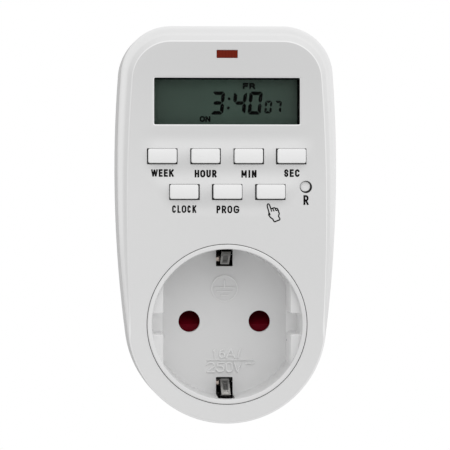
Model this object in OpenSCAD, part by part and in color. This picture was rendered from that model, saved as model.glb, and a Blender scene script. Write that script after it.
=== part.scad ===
// Plug-in timer switch: a mains socket with a digital clock that turns it on and off.
// X runs across the front, Y runs from the front face back to the plug pins, Z runs up.
// The origin is on the plug's end face, on the axis that the plug and the socket share.

/* [Body] */
// Width of the body where it is widest
body_w = 59.4; // [59:0.1:61]
// Height of the top edge above the socket's axis
top_z = 79.4; // [79:0.1:82]
// Radius of the lower end, which is round about the socket's axis
end_r = 27; // [27:0.1:28]
// Height above the socket's axis at which the body is widest
widest_z = 41; // [38:1:44]
// Radius of the upper corners
corner_r = 14; // [13:0.5:15]
// Depth of the body from the front face to the back face
body_depth = 39; // [39:0.5:41]
// Depth at which the front and rear housings meet
parting_depth = 20; // [19.9:0.1:20.1]
// How much wider the front housing is where it meets the rear one than at its front edge
draft = 0.8; // [0.6:0.1:1]

/* [Raised front face] */
// Width of the raised face where it is widest
face_w = 52.2; // [51.8:0.1:52.6]
// Height of the raised face's top edge
face_top_z = 74.5; // [74:0.1:75]
// Drop from the raised face to the ledge around its upper part
ledge_drop = 1.0; // [0.6:0.1:1.2]

/* [Display] */
// Width of the display opening
window_w = 38.2; // [37:0.1:38.4]
// Height of the display opening
window_h = 12; // [11.6:0.1:12.2]
// Height of the opening's centre above the socket's axis
window_z = 58.8; // [58.6:0.1:59]
// Width of the indicator lens
lens_w = 5.6; // [5:0.1:6]
// Height of the indicator lens
lens_h = 2; // [1.8:0.1:2.2]
// Height of the indicator's centre above the socket's axis
lens_z = 71.1; // [70.9:0.1:71.2]

/* [Keys] */
// Width of a key
key_w = 7.5; // [7:0.1:7.8]
// Height of a key
key_h = 3.8; // [3.4:0.1:4]
// Distance between neighbouring keys
key_pitch = 11.4; // [11:0.1:11.6]
// Height of the upper row of keys
upper_row_z = 44.25; // [44:0.05:44.4]
// Height of the lower row of keys
lower_row_z = 34.85; // [34.8:0.05:35]
// How far a key stands proud of the front face
key_proud = 1.0; // [0.8:0.1:1.2]
// Gap all round a key
key_gap = 0.2; // [0.15:0.05:0.25]
// Diameter of the reset button's hole
reset_d = 3.1; // [2.9:0.1:3.3]

/* [Socket] */
// Diameter of the recess that takes a plug
recess_d = 39; // [38.8:0.1:39.2]
// Depth of the recess
recess_depth = 17.5; // [17.4:0.1:17.6]
// Distance from the socket's axis to the flats at its sides
flat_x = 16.8; // [16.6:0.1:17]
// Height of the notch in each flat
notch_h = 5.6; // [5:0.1:5.8]
// Outside diameter of the socket's rim
rim_d = 42.2; // [42:0.1:42.4]
// How far the rim stands proud of the front face
rim_proud = 0.3; // [0.2:0.1:0.4]
// Diameter of the pin holes
hole_d = 5.5; // [5.3:0.1:5.6]

/* [Plug] */
// Distance between the pins
pin_pitch = 19; // [19:0.1:19.1]
// Diameter of a pin
pin_d = 4.8; // [4.7:0.05:4.8]
// Length of a pin beyond the plug's end face
pin_length = 19; // [18.5:0.1:19.5]
// Diameter of the round plug body
boss_d = 37; // [36.8:0.1:37.2]
// Height of the plug body behind the back face
boss_height = 16.5; // [16:0.1:16.8]

/* [Hidden] */
$fn = 64;

// Colours
white_plastic = [0.86, 0.86, 0.86];
key_plastic = [0.93, 0.93, 0.93];
inner_plastic = [0.80, 0.80, 0.78];
red_plastic = [0.45, 0.03, 0.06];
brass = [0.80, 0.66, 0.36];
nickel = [0.76, 0.76, 0.75];
steel = [0.62, 0.63, 0.65];
board_green = [0.13, 0.38, 0.20];
rubber_grey = [0.55, 0.56, 0.58];
carbon_black = [0.06, 0.06, 0.06];

// Fits
slip = 0.15;      // clearance between parts that drop together
overlap = 0.05;   // how far solids of one part run into each other
hairline = 0.1;   // clearance between faces that nearly touch

// Depths behind the front face
front_wall = 2.2;         // the front face is this thick
board_depth = 7.5;        // front of the control board
board_t = 1.6;
power_depth = 33;         // front of the power board
rear_wall_depth = 37;     // inside of the back face
flange_t = 0.8;           // key and button flanges
flange_depth = front_wall + hairline;
dome_depth = 5.3;         // tips of the keypad's domes
mat_depth = 6.7;          // front of the keypad's sheet
floor_t = 2.2;            // the socket's floor is this thick
floor_back = recess_depth + floor_t;
cover_depth = 26.4;       // front of the shutter cover's back plate
cover_t = 1.2;
carrier_depth = 37;       // front of the contact carrier's disc
carrier_t = 2;
pin_head_depth = 39.6;    // front of the pins' heads
boss_end = body_depth + boss_height;

// Housing walls, as distances in from the body's outline
front_inset = 2.8;
rear_inset = 2.6;
tongue_inset = 1.75;

// The outline's joints of arcs: the long side arcs meet the round end and the corners in a line
half_w = body_w / 2;
face_half_w = face_w / 2;
face_end_r = end_r - 1.85;
face_corner_r = 10;
face_widest_z = 29;

pin_x = pin_pitch / 2;
recess_r = recess_d / 2;
rim_r = rim_d / 2;
boss_r = boss_d / 2;

upper_keys_x = [for (i = [-1.5 : 1 : 1.5]) i * key_pitch];
lower_keys_x = [for (i = [-1 : 1]) i * key_pitch];
reset_at = [20.8, 36.2];
key_places = concat([for (x = upper_keys_x) [x, upper_row_z]], [for (x = lower_keys_x) [x, lower_row_z]]);

housing_screw_places = [[-20, 70.5], [20, 70.5], [-23.3, 14.5], [23.3, 14.5]];
board_screw_places = [[-14, 71.6], [14, 71.6], [-23.5, 49], [23.5, 49], [-22.6, 29.6], [22.6, 29.6]];
power_screw_places = [[-13, 71.5], [13, 71.5], [-21, 29.5], [21, 29.5]];
socket_screw_places = [[-15.5, 20.5], [15.5, 20.5]];
cover_screw_places = [[-17.6, -5], [17.6, -5]];
carrier_screw_places = [[0, -8], [0, 8]];

// ---------------------------------------------------------------- shared geometry

// Y of a depth behind the front face
function at(depth) = depth - boss_end;

function arc(centre, r, from, to, steps) =
    [for (i = [0 : steps]) centre + r * [cos(from + (to - from) * i / steps),
                                         sin(from + (to - from) * i / steps)]];

// Half of an outline that is round at the lower end, bowed at the side and square-shouldered at
// the top, from the lowest point round to the top. All its arcs run smoothly into each other.
function half_outline(hw, r_end, z_wide, r_corner, z_top) =
    let (r_side = (pow(z_wide, 2) / (hw - r_end) + hw + r_end) / 2,
         side = [hw - r_side, z_wide],
         low = atan2(-side.y, -side.x),
         corner_z = z_top - r_corner,
         corner_x = side.x + sqrt(pow(r_side - r_corner, 2) - pow(corner_z - z_wide, 2)),
         high = atan2(corner_z - z_wide, corner_x - side.x))
    concat(arc([0, 0], r_end, -90, low, 18),
           [for (p = arc(side, r_side, low, high, 12)) if (p.y < corner_z) p],
           arc([corner_x, corner_z], r_corner, high, 90, 12));

function mirrored(half) =
    concat(half, [for (i = [len(half) - 1 : -1 : 1]) [-half[i].x, half[i].y]]);

// The body's outline, moved in by an inset
function body_outline(inset) =
    mirrored(half_outline(half_w - inset, end_r - inset, widest_z, corner_r - inset, top_z - inset));

function face_outline() =
    mirrored(half_outline(face_half_w, face_end_r, face_widest_z, face_corner_r, face_top_z));

function clamp01(t) = min(1, max(0, t));

// Runs from 0 to 1 in a straight line with its two ends rounded off
function soft_ramp(t) =
    let (c = clamp01(t), soft = 0.2)
    c < soft ? c * c / (2 * soft * (1 - soft))
    : c < 1 - soft ? (c - soft / 2) / (1 - soft)
    : 1 - (1 - c) * (1 - c) / (2 * soft * (1 - soft));

// Extrudes a shape drawn in X and Z from one depth to another
module slab(from, to) {
    translate([0, at(to), 0]) rotate([90, 0, 0]) linear_extrude(height = to - from) children();
}

module rod(place, r, from, to) {
    translate([place.x, at(to), place.y]) rotate([90, 0, 0]) cylinder(r = r, h = to - from);
}

module plate(x, z, size_x, size_z, from, to) {
    translate([x - size_x / 2, at(from), z - size_z / 2]) cube([size_x, to - from, size_z]);
}

// Extrudes a shape drawn in depth and Z along X, centred on x
module strip_across(x, width) {
    translate([x - width / 2, at(0), 0]) rotate([90, 0, 90]) linear_extrude(height = width) children();
}

// Closes a solid over rings of points, with a flat cap at each end
module skin(rings) {
    n = len(rings[0]);
    last = len(rings) - 1;
    sides = [for (k = [0 : last - 1], i = [0 : n - 1])
                let (a = k * n + i, b = k * n + (i + 1) % n, c = a + n, d = b + n)
                each [[a, b, d], [a, d, c]]];
    polyhedron([for (ring = rings) each ring],
               concat(sides, [[for (i = [n - 1 : -1 : 0]) i]], [[for (i = [0 : n - 1]) last * n + i]]));
}

function at_depth(points, depth) = [for (p = points) [p.x, at(depth), p.y]];

function unit(v) = v / norm(v);

// Rings of a tube of radius r along a path of points
function tube_rings(path, r, sides) =
    [for (i = [0 : len(path) - 1])
        let (along = unit(path[min(i + 1, len(path) - 1)] - path[max(i - 1, 0)]),
             across = unit(cross(along, [0.94, 0.07, 0.33])),
             up = cross(along, across))
        [for (s = [0 : sides - 1]) path[i] + r * (cos(360 * s / sides) * across + sin(360 * s / sides) * up)]];

// A smooth curve through hand-picked points, with steps between each pair
function curve(p, steps) =
    [for (i = [0 : len(p) - 2], s = [0 : steps - 1])
        let (t = s / steps, a = p[max(i - 1, 0)], b = p[i], c = p[i + 1], d = p[min(i + 2, len(p) - 1)])
        0.5 * (2 * b + (c - a) * t + (2 * a - 5 * b + 4 * c - d) * t * t
               + (3 * b - 3 * c + d - a) * t * t * t)];
function whole_curve(p, steps) = concat(curve(p, steps), [p[len(p) - 1]]);

module screw(place, head_depth, length, head_r, shank_r, towards = -1) {
    // towards -1 drives the screw to the front, +1 to the back
    head_h = 1.4;
    slot_depth = 0.7;
    difference() {
        union() {
            if (towards < 0) rod(place, head_r, head_depth - head_h, head_depth);
            else rod(place, head_r, head_depth, head_depth + head_h);
            if (towards < 0) rod(place, shank_r, head_depth - head_h - length, head_depth - head_h + overlap);
            else rod(place, shank_r, head_depth + head_h - overlap, head_depth + head_h + length);
        }
        for (turn = [0, 90])
            translate([place.x, at(head_depth), place.y]) rotate([0, turn, 0])
                cube([head_r * 1.2, slot_depth * 2, 0.5], center = true);
    }
}

// ---------------------------------------------------------------- housings

// The shoulder around the raised face: a slope and a ledge above, a plain rounded edge below.
// s runs from 0 at the face's edge to 1 at the side wall, and share says how much ledge there is.
edge_round = 1.3;
slope_end = 0.54;
shoulder_steps = [0, 0.05, 0.1, 0.43, 0.49, 0.54, 0.66, 0.76, 0.85, 0.92, 0.97, 1];
function ledge_share(z) = sin(90 * clamp01((z + 3) / 38));
function shoulder_depth(s, share) =
    let (round_from = 0.1 + 0.48 * share, t = clamp01((s - round_from) / (1 - round_from)))
    share * (ledge_drop * soft_ramp(s / slope_end) + 0.2 * s) + edge_round * (1 - sqrt(1 - t * t));

module front_shell_solid() {
    face = face_outline();
    edge = body_outline(draft);
    skin(concat(
        [for (s = shoulder_steps)
            [for (i = [0 : len(face) - 1])
                let (p = face[i] + s * (edge[i] - face[i]))
                [p.x, at(shoulder_depth(s, ledge_share(face[i].y))), p.y]]],
        [at_depth(body_outline(0), parting_depth)]));
}

module window_cut() {
    chamfer = 0.4;
    plate(0, window_z, window_w, window_h, -1, front_wall + 1);
    hull() {
        plate(0, window_z, window_w + 2 * chamfer, window_h + 2 * chamfer, -0.2, 0);
        plate(0, window_z, window_w, window_h, -0.2, chamfer);
    }
}

module front_housing() {
    post_r = 2.7;
    boss_pad_r = 1.9;
    hook_r = end_r - front_inset + overlap;
    color(white_plastic) difference() {
        union() {
            difference() {
                front_shell_solid();
                slab(front_wall, parting_depth + 1) polygon(body_outline(front_inset));
                slab(parting_depth - 1.7, parting_depth + 1) polygon(body_outline(tongue_inset - slip));
            }
            for (place = housing_screw_places)
                intersection() {
                    rod(place, post_r, front_wall - overlap, parting_depth - hairline / 2);
                    slab(0, parting_depth) polygon(body_outline(tongue_inset));
                }
            for (place = board_screw_places)
                rod(place, boss_pad_r, front_wall - overlap, board_depth);
            for (place = socket_screw_places)
                rod(place, boss_pad_r, front_wall - overlap, ear_depth);
            // Ledge under which the socket's flange hooks at the lower end
            intersection() {
                slab(3.9, 5.1) difference() { circle(r = hook_r); circle(r = 22.2); }
                plate(0, -end_r, 9, 16, 3, 6);
            }
        }
        window_cut();
        plate(0, lens_z, lens_w, lens_h, -1, front_wall + 1);
        for (place = key_places)
            plate(place.x, place.y, key_w + 2 * key_gap, key_h + 2 * key_gap, -1, front_wall + 1);
        rod(reset_at, reset_d / 2, -1, front_wall + 1);
        rod([0, 0], rim_r + slip, -1, front_wall + 1);
        for (place = housing_screw_places) rod(place, housing_screw_r + 0.03, 8, parting_depth + 1);
        for (place = board_screw_places) rod(place, small_screw_r + 0.03, 3, board_depth + 1);
        for (place = socket_screw_places) rod(place, small_screw_r + 0.03, 2, ear_depth + 1);
    }
}

housing_screw_r = 1.27;
housing_head_r = 2.3;
small_screw_r = 0.85;
small_head_r = 1.7;
counterbore_depth = 30;

module rear_shell_solid() {
    round_r = 2;
    side_draft = 0.35;
    skin(concat(
        [at_depth(body_outline(0), parting_depth)],
        [for (a = [0 : 15 : 90])
            at_depth(body_outline(side_draft + round_r * (1 - cos(a))),
                     body_depth - round_r + round_r * sin(a))]));
}

// Round plug body with flats at the sides and a guide rib on each flat
module boss_outline(r) {
    intersection() {
        circle(r = r);
        union() {
            square([2 * (flat_x - 0.5), 2 * r + 1], center = true);
            square([2 * r + 1, notch_h - 0.8], center = true);
        }
    }
}

module rear_housing() {
    post_r = 3.4;
    board_post_r = 2.2;
    carrier_hole_r = 16.4;
    ledge_r = 15.2;
    end_wall = 2;
    pin_post_r = 4.2;
    screw_post_r = 2.4;
    label_w = 30;
    label_h = 34;
    color(white_plastic) difference() {
        union() {
            difference() {
                union() {
                    rear_shell_solid();
                    slab(body_depth - overlap, boss_end) boss_outline(boss_r);
                }
                slab(parting_depth - 1, rear_wall_depth) polygon(body_outline(rear_inset));
                slab(rear_wall_depth - 1, carrier_depth + carrier_t) boss_inside(carrier_hole_r);
                slab(rear_wall_depth, boss_end - end_wall) boss_inside(ledge_r);
            }
            slab(parting_depth - 1.6, parting_depth + overlap) difference() {
                polygon(body_outline(tongue_inset));
                polygon(body_outline(rear_inset));
            }
            for (place = housing_screw_places)
                intersection() {
                    rod(place, post_r, parting_depth + hairline / 2, rear_wall_depth + overlap);
                    slab(parting_depth, body_depth) polygon(body_outline(1.2));
                }
            for (place = power_screw_places)
                rod(place, board_post_r, power_depth + board_t, rear_wall_depth + overlap);
            for (x = [-pin_x, pin_x])
                rod([x, 0], pin_post_r, pin_head_depth + pin_head_t, boss_end - end_wall + overlap);
            for (place = carrier_screw_places)
                rod(place, screw_post_r, carrier_depth + carrier_t, boss_end - end_wall + overlap);
        }
        for (place = housing_screw_places) {
            rod(place, housing_screw_r + 0.2, parting_depth - 1, body_depth + 1);
            rod(place, housing_head_r + 0.2, counterbore_depth, body_depth + 1);
        }
        for (place = power_screw_places)
            rod(place, small_screw_r + 0.03, power_depth, rear_wall_depth + 1.2);
        for (place = carrier_screw_places)
            rod(place, small_screw_r + 0.03, carrier_depth, carrier_depth + 10);
        for (x = [-pin_x, pin_x]) rod([x, 0], pin_seat_r + 0.03, pin_head_depth, boss_end + 1);
        for (side = [-1, 1]) {
            // Groove for the earth strap along the plug body, and its way through the back face
            plate(0, side * 19.8, strap_w + 0.3, 4.4, body_depth - 0.4, 54.4);
            plate(0, side * strap_back_z, strap_w + 0.3, 1, rear_wall_depth - 1, body_depth + 1);
        }
        // Shallow recess for a label
        plate(0, 46, label_w, label_h, body_depth - 0.3, body_depth + 1);
    }
}

module boss_inside(r) {
    intersection() {
        circle(r = r);
        square([2 * (flat_x - 2), 2 * r + 1], center = true);
    }
}

// ---------------------------------------------------------------- socket

ear_depth = 6.2;
ear_t = 1.6;
insert_flange_r = 22.9;
slot_w = 4.5;
slot_inner_z = 15.1;
block_depth = 1.2; // the side blocks start this far behind the front face

floor_seat_r = recess_r + 0.8; // step at the back of the wall that takes the floor

module socket_insert() {
    flange_back = 3.8;
    seat_depth = recess_depth - 0.02;
    color(white_plastic) difference() {
        union() {
            // Rim and wall, turned about the axis
            translate([0, at(0), 0]) rotate([-90, 0, 0]) rotate_extrude() polygon([
                [recess_r, 0.25], [recess_r + 0.35, -rim_proud],
                [rim_r - 0.4, -rim_proud], [rim_r, 0.15],
                [rim_r, front_wall], [insert_flange_r, front_wall],
                [insert_flange_r, flange_back], [rim_r, flange_back],
                [rim_r, floor_back], [floor_seat_r, floor_back],
                [floor_seat_r, seat_depth], [recess_r, seat_depth]]);
            for (side = [-1, 1]) slab(block_depth, seat_depth) side_block(side);
            for (place = socket_screw_places) socket_ear(place);
        }
        earth_slots();
        for (place = socket_screw_places) rod(place, small_screw_r + 0.15, 5, 9);
        for (place = cover_screw_places) rod(place, small_screw_r + 0.03, recess_depth - 5, recess_depth + 1);
    }
}

// Windows for the earth springs, through the wall and the floor's edge
module earth_slots() {
    slot_top = 23;
    for (side = [-1, 1])
        plate(0, side * (slot_inner_z + slot_top) / 2, slot_w, slot_top - slot_inner_z, 2.5, floor_back + 1);
}

// The floor is screwed to the side blocks from behind, together with the shutter's cover
module socket_floor() {
    cover_boss_r = 2.2;
    color(white_plastic) difference() {
        union() {
            rod([0, 0], floor_seat_r - hairline, recess_depth, floor_back);
            for (place = cover_screw_places) rod(place, cover_boss_r, floor_back - overlap, cover_depth);
            floor_marks();
        }
        for (x = [-pin_x, pin_x]) rod([x, 0], hole_d / 2, recess_depth - 1, floor_back + 1);
        earth_slots();
        for (place = cover_screw_places) rod(place, small_screw_r + 0.15, recess_depth - 1, cover_depth + 1);
    }
}

// Block that fills the recess beyond the flat, with a notch in its middle
module side_block(side) {
    difference() {
        circle(r = recess_r + overlap);
        translate([-side * 40 + side * flat_x, 0]) square([80, 80], center = true);
        square([80, notch_h], center = true);
    }
}

module socket_ear(place) {
    intersection() {
        slab(ear_depth, ear_depth + ear_t) difference() {
            hull() {
                translate(place) circle(r = 2.2);
                translate(place * 0.7) circle(r = 2.2);
            }
            circle(r = rim_r - 0.5);
        }
        slab(ear_depth - 1, ear_depth + ear_t + 1) polygon(body_outline(front_inset + 0.2));
    }
}

// Earth sign and rating, raised a little from the floor
mark_t = 0.25;
module floor_marks() {
    sign_z = 9.1;
    sign_r = 3.3;
    line_w = 0.35;
    slab(recess_depth - mark_t, recess_depth + overlap) translate([0, sign_z]) {
        difference() { circle(r = sign_r); circle(r = sign_r - line_w); }
        translate([0, 1.1]) square([line_w, 2.2], center = true);
        square([4.6, line_w], center = true);
        translate([0, -0.9]) square([3.2, line_w], center = true);
        translate([0, -1.8]) square([1.6, line_w], center = true);
    }
}

module shutter_cover() {
    wall = 1.2;
    inside_w = shutter_w + 0.4;
    top_in = 3.9;
    bottom_in = -10.4;
    spring_w = 4.8;
    spring_bottom = -14.8;
    tab_r = 2.2;
    color(inner_plastic) difference() {
        union() {
            plate(0, (top_in + bottom_in) / 2, inside_w + 2 * wall, top_in - bottom_in + 2 * wall,
                  floor_back + hairline, cover_depth + cover_t);
            plate(0, (bottom_in + spring_bottom) / 2, spring_w + 2 * wall, bottom_in - spring_bottom + 2 * wall,
                  floor_back + hairline, cover_depth + cover_t);
            for (place = cover_screw_places) slab(cover_depth, cover_depth + cover_t) hull() {
                translate(place) circle(r = tab_r);
                translate([place.x * 0.8, place.y]) circle(r = tab_r);
            }
        }
        plate(0, (top_in + bottom_in) / 2, inside_w, top_in - bottom_in, floor_back - 1, cover_depth);
        plate(0, (bottom_in + spring_bottom) / 2 + 0.5, spring_w, bottom_in - spring_bottom + 1,
              floor_back - 1, cover_depth);
        for (x = [-pin_x, pin_x]) rod([x, 0], hole_d / 2 + 0.1, cover_depth - 1, cover_depth + cover_t + 1);
        for (place = cover_screw_places) rod(place, small_screw_r + 0.15, cover_depth - 1, cover_depth + cover_t + 1);
    }
}

// Child guard behind the pin holes. Two pins together push it down by its ramps.
shutter_w = 25.6;
shutter_half_h = 3.3;
shutter_front = floor_back + 0.3;
shutter_back = cover_depth - 0.2;
spring_pin_r = 0.9;
module shutter() {
    ramp_from = -0.9;
    centre_rib_w = 6;
    color(red_plastic) union() {
        strip_across(0, shutter_w) polygon([
            [shutter_front, -shutter_half_h], [shutter_front, ramp_from],
            [shutter_back - 1, shutter_half_h], [shutter_back, shutter_half_h],
            [shutter_back, -shutter_half_h]]);
        plate(0, 0, centre_rib_w, 2 * shutter_half_h, shutter_front, shutter_back);
        // Peg that centres the spring
        translate([0, at(spring_depth), -shutter_half_h - 1.6]) cylinder(r = spring_pin_r, h = 1.6 + overlap);
    }
}

spring_depth = 23.2;
spring_coil_r = 1.6;
spring_wire_r = 0.22;
module shutter_spring() {
    turns = 8;
    steps_a_turn = 12;
    top = -shutter_half_h - spring_wire_r - 0.02;
    bottom = -14.8 + spring_wire_r + 0.02;
    path = [for (i = [0 : turns * steps_a_turn])
        let (t = i / (turns * steps_a_turn), a = 360 * i / steps_a_turn)
        [spring_coil_r * cos(a), at(spring_depth) + spring_coil_r * sin(a), bottom + (top - bottom) * t]];
    color(steel) skin([for (i = [0 : len(path) - 1])
        let (along = unit(path[min(i + 1, len(path) - 1)] - path[max(i - 1, 0)]),
             out = unit([path[i].x, path[i].y - at(spring_depth), 0]),
             up = cross(along, out))
        [for (s = [0 : 7]) path[i] + spring_wire_r * (cos(45 * s) * out + sin(45 * s) * up)]]);
}

// ---------------------------------------------------------------- keys and keypad

module key_cap(place) {
    corner = 0.35;
    crown_r = 9;
    stem = 2.4;
    skirt = 1;
    color(key_plastic) intersection() {
        union() {
            slab(-key_proud, flange_depth + overlap) translate(place) rounded_square(key_w, key_h, corner);
            plate(place.x, place.y, key_w + 2 * skirt - 0.2, key_h + 2 * skirt - 0.2,
                  flange_depth, flange_depth + flange_t);
            plate(place.x, place.y, stem, stem, flange_depth + flange_t - overlap, dome_depth - hairline);
        }
        // Crown of the cap, round about X
        translate([place.x, at(crown_r - key_proud), place.y]) rotate([0, 90, 0])
            cylinder(r = crown_r, h = 20, center = true);
    }
}

module rounded_square(w, h, r) {
    union() {
        square([w - 2 * r, h], center = true);
        square([w, h - 2 * r], center = true);
        for (x = [-1, 1], y = [-1, 1]) translate([x * (w / 2 - r), y * (h / 2 - r)]) circle(r = r);
    }
}

module key_week() { key_cap([upper_keys_x[0], upper_row_z]); }
module key_hour() { key_cap([upper_keys_x[1], upper_row_z]); }
module key_minute() { key_cap([upper_keys_x[2], upper_row_z]); }
module key_second() { key_cap([upper_keys_x[3], upper_row_z]); }
module key_clock() { key_cap([lower_keys_x[0], lower_row_z]); }
module key_program() { key_cap([lower_keys_x[1], lower_row_z]); }
module key_manual() { key_cap([lower_keys_x[2], lower_row_z]); }

module reset_button() {
    face_depth = 1.1;
    button_r = reset_d / 2 - 0.2;
    color(inner_plastic) union() {
        rod(reset_at, button_r, face_depth, flange_depth + overlap);
        rod(reset_at, button_r + 0.8, flange_depth, flange_depth + flange_t);
        rod(reset_at, button_r - 0.3, flange_depth + flange_t - overlap, dome_depth - hairline);
    }
}

dome_places = concat(key_places, [reset_at]);
module keypad_mat() {
    dome_r = 2.1;
    dome_tip_r = 1.5;
    hollow_r = 1.5;
    mat_x = [-21.2, 24];
    mat_z = [31.8, 46.9];
    color(rubber_grey) difference() {
        union() {
            plate((mat_x[0] + mat_x[1]) / 2, (mat_z[0] + mat_z[1]) / 2,
                  mat_x[1] - mat_x[0], mat_z[1] - mat_z[0], mat_depth, board_depth - 0.02);
            for (place = dome_places)
                translate([place.x, at(mat_depth + overlap), place.y]) rotate([90, 0, 0])
                    cylinder(r1 = dome_r, r2 = dome_tip_r, h = mat_depth + overlap - dome_depth);
        }
        for (place = dome_places) rod(place, hollow_r, dome_depth + 0.8, board_depth + 1);
    }
}

module contact_pills() {
    color(carbon_black) for (place = dome_places) rod(place, 1.1, dome_depth + 0.8, dome_depth + 1.4);
}

// ---------------------------------------------------------------- display

glass_w = 40.4;
glass_z = [50.2, 66.4];
module display_window() {
    lens_front = 0.6;
    lens_back = 3.2;
    color([0.8, 0.85, 0.85, 0.3]) union() {
        plate(0, window_z, window_w - 0.3, window_h - 0.3, lens_front, front_wall + 0.1);
        plate(0, (51.4 + glass_z[1]) / 2, glass_w - 0.2, glass_z[1] - 51.4, front_wall + 0.05, lens_back);
    }
}

module display_holder() {
    holder_w = 42.4;
    pocket_back = 5.75;
    color(carbon_black) difference() {
        plate(0, (49.4 + 67) / 2, holder_w, 67 - 49.4, front_wall + 0.05, board_depth - 0.02);
        plate(0, (50.15 + 66.45) / 2, glass_w + 0.1, 66.45 - 50.15, front_wall - 1, pocket_back);
        plate(0, 51.4, glass_w - 1.8, 2.2, pocket_back - 1, board_depth + 1);
    }
}

module display_glass() {
    color([0.24, 0.29, 0.26]) union() {
        plate(0, (glass_z[0] + glass_z[1]) / 2, glass_w, glass_z[1] - glass_z[0], 3.3, 4.5);
        plate(0, (52.6 + glass_z[1]) / 2, glass_w, glass_z[1] - 52.6, 4.5 - overlap, 5.7);
    }
}

module zebra_strip() {
    color([0.75, 0.72, 0.66]) plate(0, 51.4, glass_w - 2.4, 1.8, 4.52, board_depth - 0.02);
}

module indicator_lens() {
    lens_back = 4;
    fit = 0.05;
    color(red_plastic) union() {
        plate(0, lens_z, lens_w - 2 * fit, lens_h - 2 * fit, 0.05, lens_back);
        plate(0, lens_z, lens_w + 1.6, lens_h + 1.4, front_wall + 0.05, front_wall + 0.85);
    }
}

module indicator_lamp() {
    lamp_r = 1.5;
    color([0.85, 0.2, 0.2]) union() {
        rod([0, lens_z], lamp_r + 0.4, board_depth - 0.8, board_depth);
        rod([0, lens_z], lamp_r, 5.7, board_depth - 0.8 + overlap);
        translate([0, at(5.7), lens_z]) sphere(r = lamp_r - 0.02);
    }
}

// ---------------------------------------------------------------- boards

// Both boards clear the housing's upper screw posts
module board_outline(bottom_z) {
    intersection() {
        polygon(body_outline(front_inset + 1));
        union() {
            translate([-26, bottom_z]) square([52, 66 - bottom_z]);
            translate([-16, bottom_z]) square([32, 75.4 - bottom_z]);
        }
    }
}

module control_board() {
    color(board_green) difference() {
        slab(board_depth, board_depth + board_t) board_outline(26);
        for (place = board_screw_places) rod(place, small_screw_r + 0.15, board_depth - 1, board_depth + board_t + 1);
    }
}

board_back = board_depth + board_t;
module controller_chip() {
    // A drop of black resin over the chip
    blob_r = 4.4;
    blob_h = 1.6;
    color(carbon_black) translate([8, at(board_back), 58]) rotate([-90, 0, 0]) rotate_extrude()
        polygon(concat([[0, 0], [blob_r, 0]], [for (a = [15 : 15 : 75]) [blob_r * cos(a), blob_h * sin(a)]],
                       [[0, blob_h]]));
}

module clock_crystal() {
    color(nickel) translate([-6, at(board_back + 1.05), 52]) rotate([0, 90, 0]) cylinder(r = 1.05, h = 6);
}

module backup_cell() {
    cell = [-12, 40];
    color(nickel) union() {
        rod(cell, 5.8, board_back + 0.6, board_back + 5.8);
        plate(cell.x, cell.y, 15.6, 2.6, board_back + 0.25, board_back + 0.65);
        for (side = [-1, 1]) plate(cell.x + side * 7.55, cell.y, 0.5, 1.4, board_back, board_back + 0.45);
    }
}

module board_screws() {
    color(steel) for (place = board_screw_places) screw(place, board_back + 1.4, 5.2, small_head_r, small_screw_r);
}

module power_board() {
    color(board_green) difference() {
        slab(power_depth, power_depth + board_t) board_outline(26);
        for (place = power_screw_places) rod(place, small_screw_r + 0.15, power_depth - 1, power_depth + board_t + 1);
        for (place = housing_screw_places) rod(place, 3.7, power_depth - 1, power_depth + board_t + 1);
    }
}

module power_board_screws() {
    color(steel) for (place = power_screw_places)
        screw(place, power_depth - 1.4, 4.4, small_head_r, small_screw_r, towards = 1);
}

// A part that stands on the power board's front
module on_power_board(x, z, size_x, size_z, height) {
    plate(x, z, size_x, size_z, power_depth - height, power_depth);
}

module relay() {
    color([0.12, 0.20, 0.42]) on_power_board(-6.5, 42, 29, 12.7, 15.7);
}

module mains_capacitor() {
    color([0.75, 0.60, 0.18]) on_power_board(-10, 56.5, 18, 7.5, 13);
}

module smoothing_capacitor() {
    spot = [7, 58];
    can_r = 4;
    color([0.08, 0.09, 0.16]) difference() {
        rod(spot, can_r, power_depth - 12, power_depth);
        translate([spot.x, at(power_depth - 1.6), spot.y]) rotate([90, 0, 0])
            rotate_extrude() translate([can_r, 0]) circle(r = 0.35);
    }
}

module rectifier_diodes() {
    color(carbon_black) for (i = [0 : 3])
        union() {
            z = 51 + 3.6 * i;
            translate([14, at(power_depth - 1.6), z]) rotate([0, 90, 0]) cylinder(r = 1.3, h = 5);
            for (x = [13, 20]) plate(x, z, 0.7, 0.7, power_depth - 1.9, power_depth);
            plate(16.5, z, 7.7, 0.7, power_depth - 1.95, power_depth - 1.25);
        }
}

module surge_disc() {
    color([0.10, 0.25, 0.60]) union() {
        translate([15, at(power_depth - 7.5), 42]) rotate([0, 90, 0]) cylinder(r = 5, h = 3.6, center = true);
        for (z = [-2.5, 2.5]) plate(15, 42 + z, 0.8, 0.8, power_depth - 4, power_depth);
    }
}

module dropper_resistor() {
    color([0.62, 0.52, 0.40]) union() {
        translate([-19, at(power_depth - 3.2), 64]) rotate([0, 90, 0]) cylinder(r = 1.7, h = 11);
        for (x = [-20.2, -6.8]) plate(x, 64, 0.8, 0.8, power_depth - 3.6, power_depth);
        plate(-13.5, 64, 14.2, 0.8, power_depth - 3.6, power_depth - 2.8);
    }
}

// Six insulated wires side by side that join the two boards at their lower edge
module ribbon_cable() {
    wire_r = 0.6;
    pitch = 1.2;
    route = [[9.12, 28.6], [12, 28.4], [16, 27.4], [21, 26.9], [26, 27.4], [30, 28.4], [32.98, 28.6]];
    color([0.7, 0.7, 0.72]) for (i = [0 : 5])
        skin(tube_rings(whole_curve([for (p = route) [11 + i * pitch * 1.02, at(p[0]), p[1]]], 2), wire_r, 8));
}

// A stranded wire from a contact's tab up to the power board, given as points of X, depth and Z
module mains_wire(route) {
    skin(tube_rings(whole_curve([for (p = route) [p[0], at(p[1]), p[2]]], 3), 1.1, 10));
}

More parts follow.
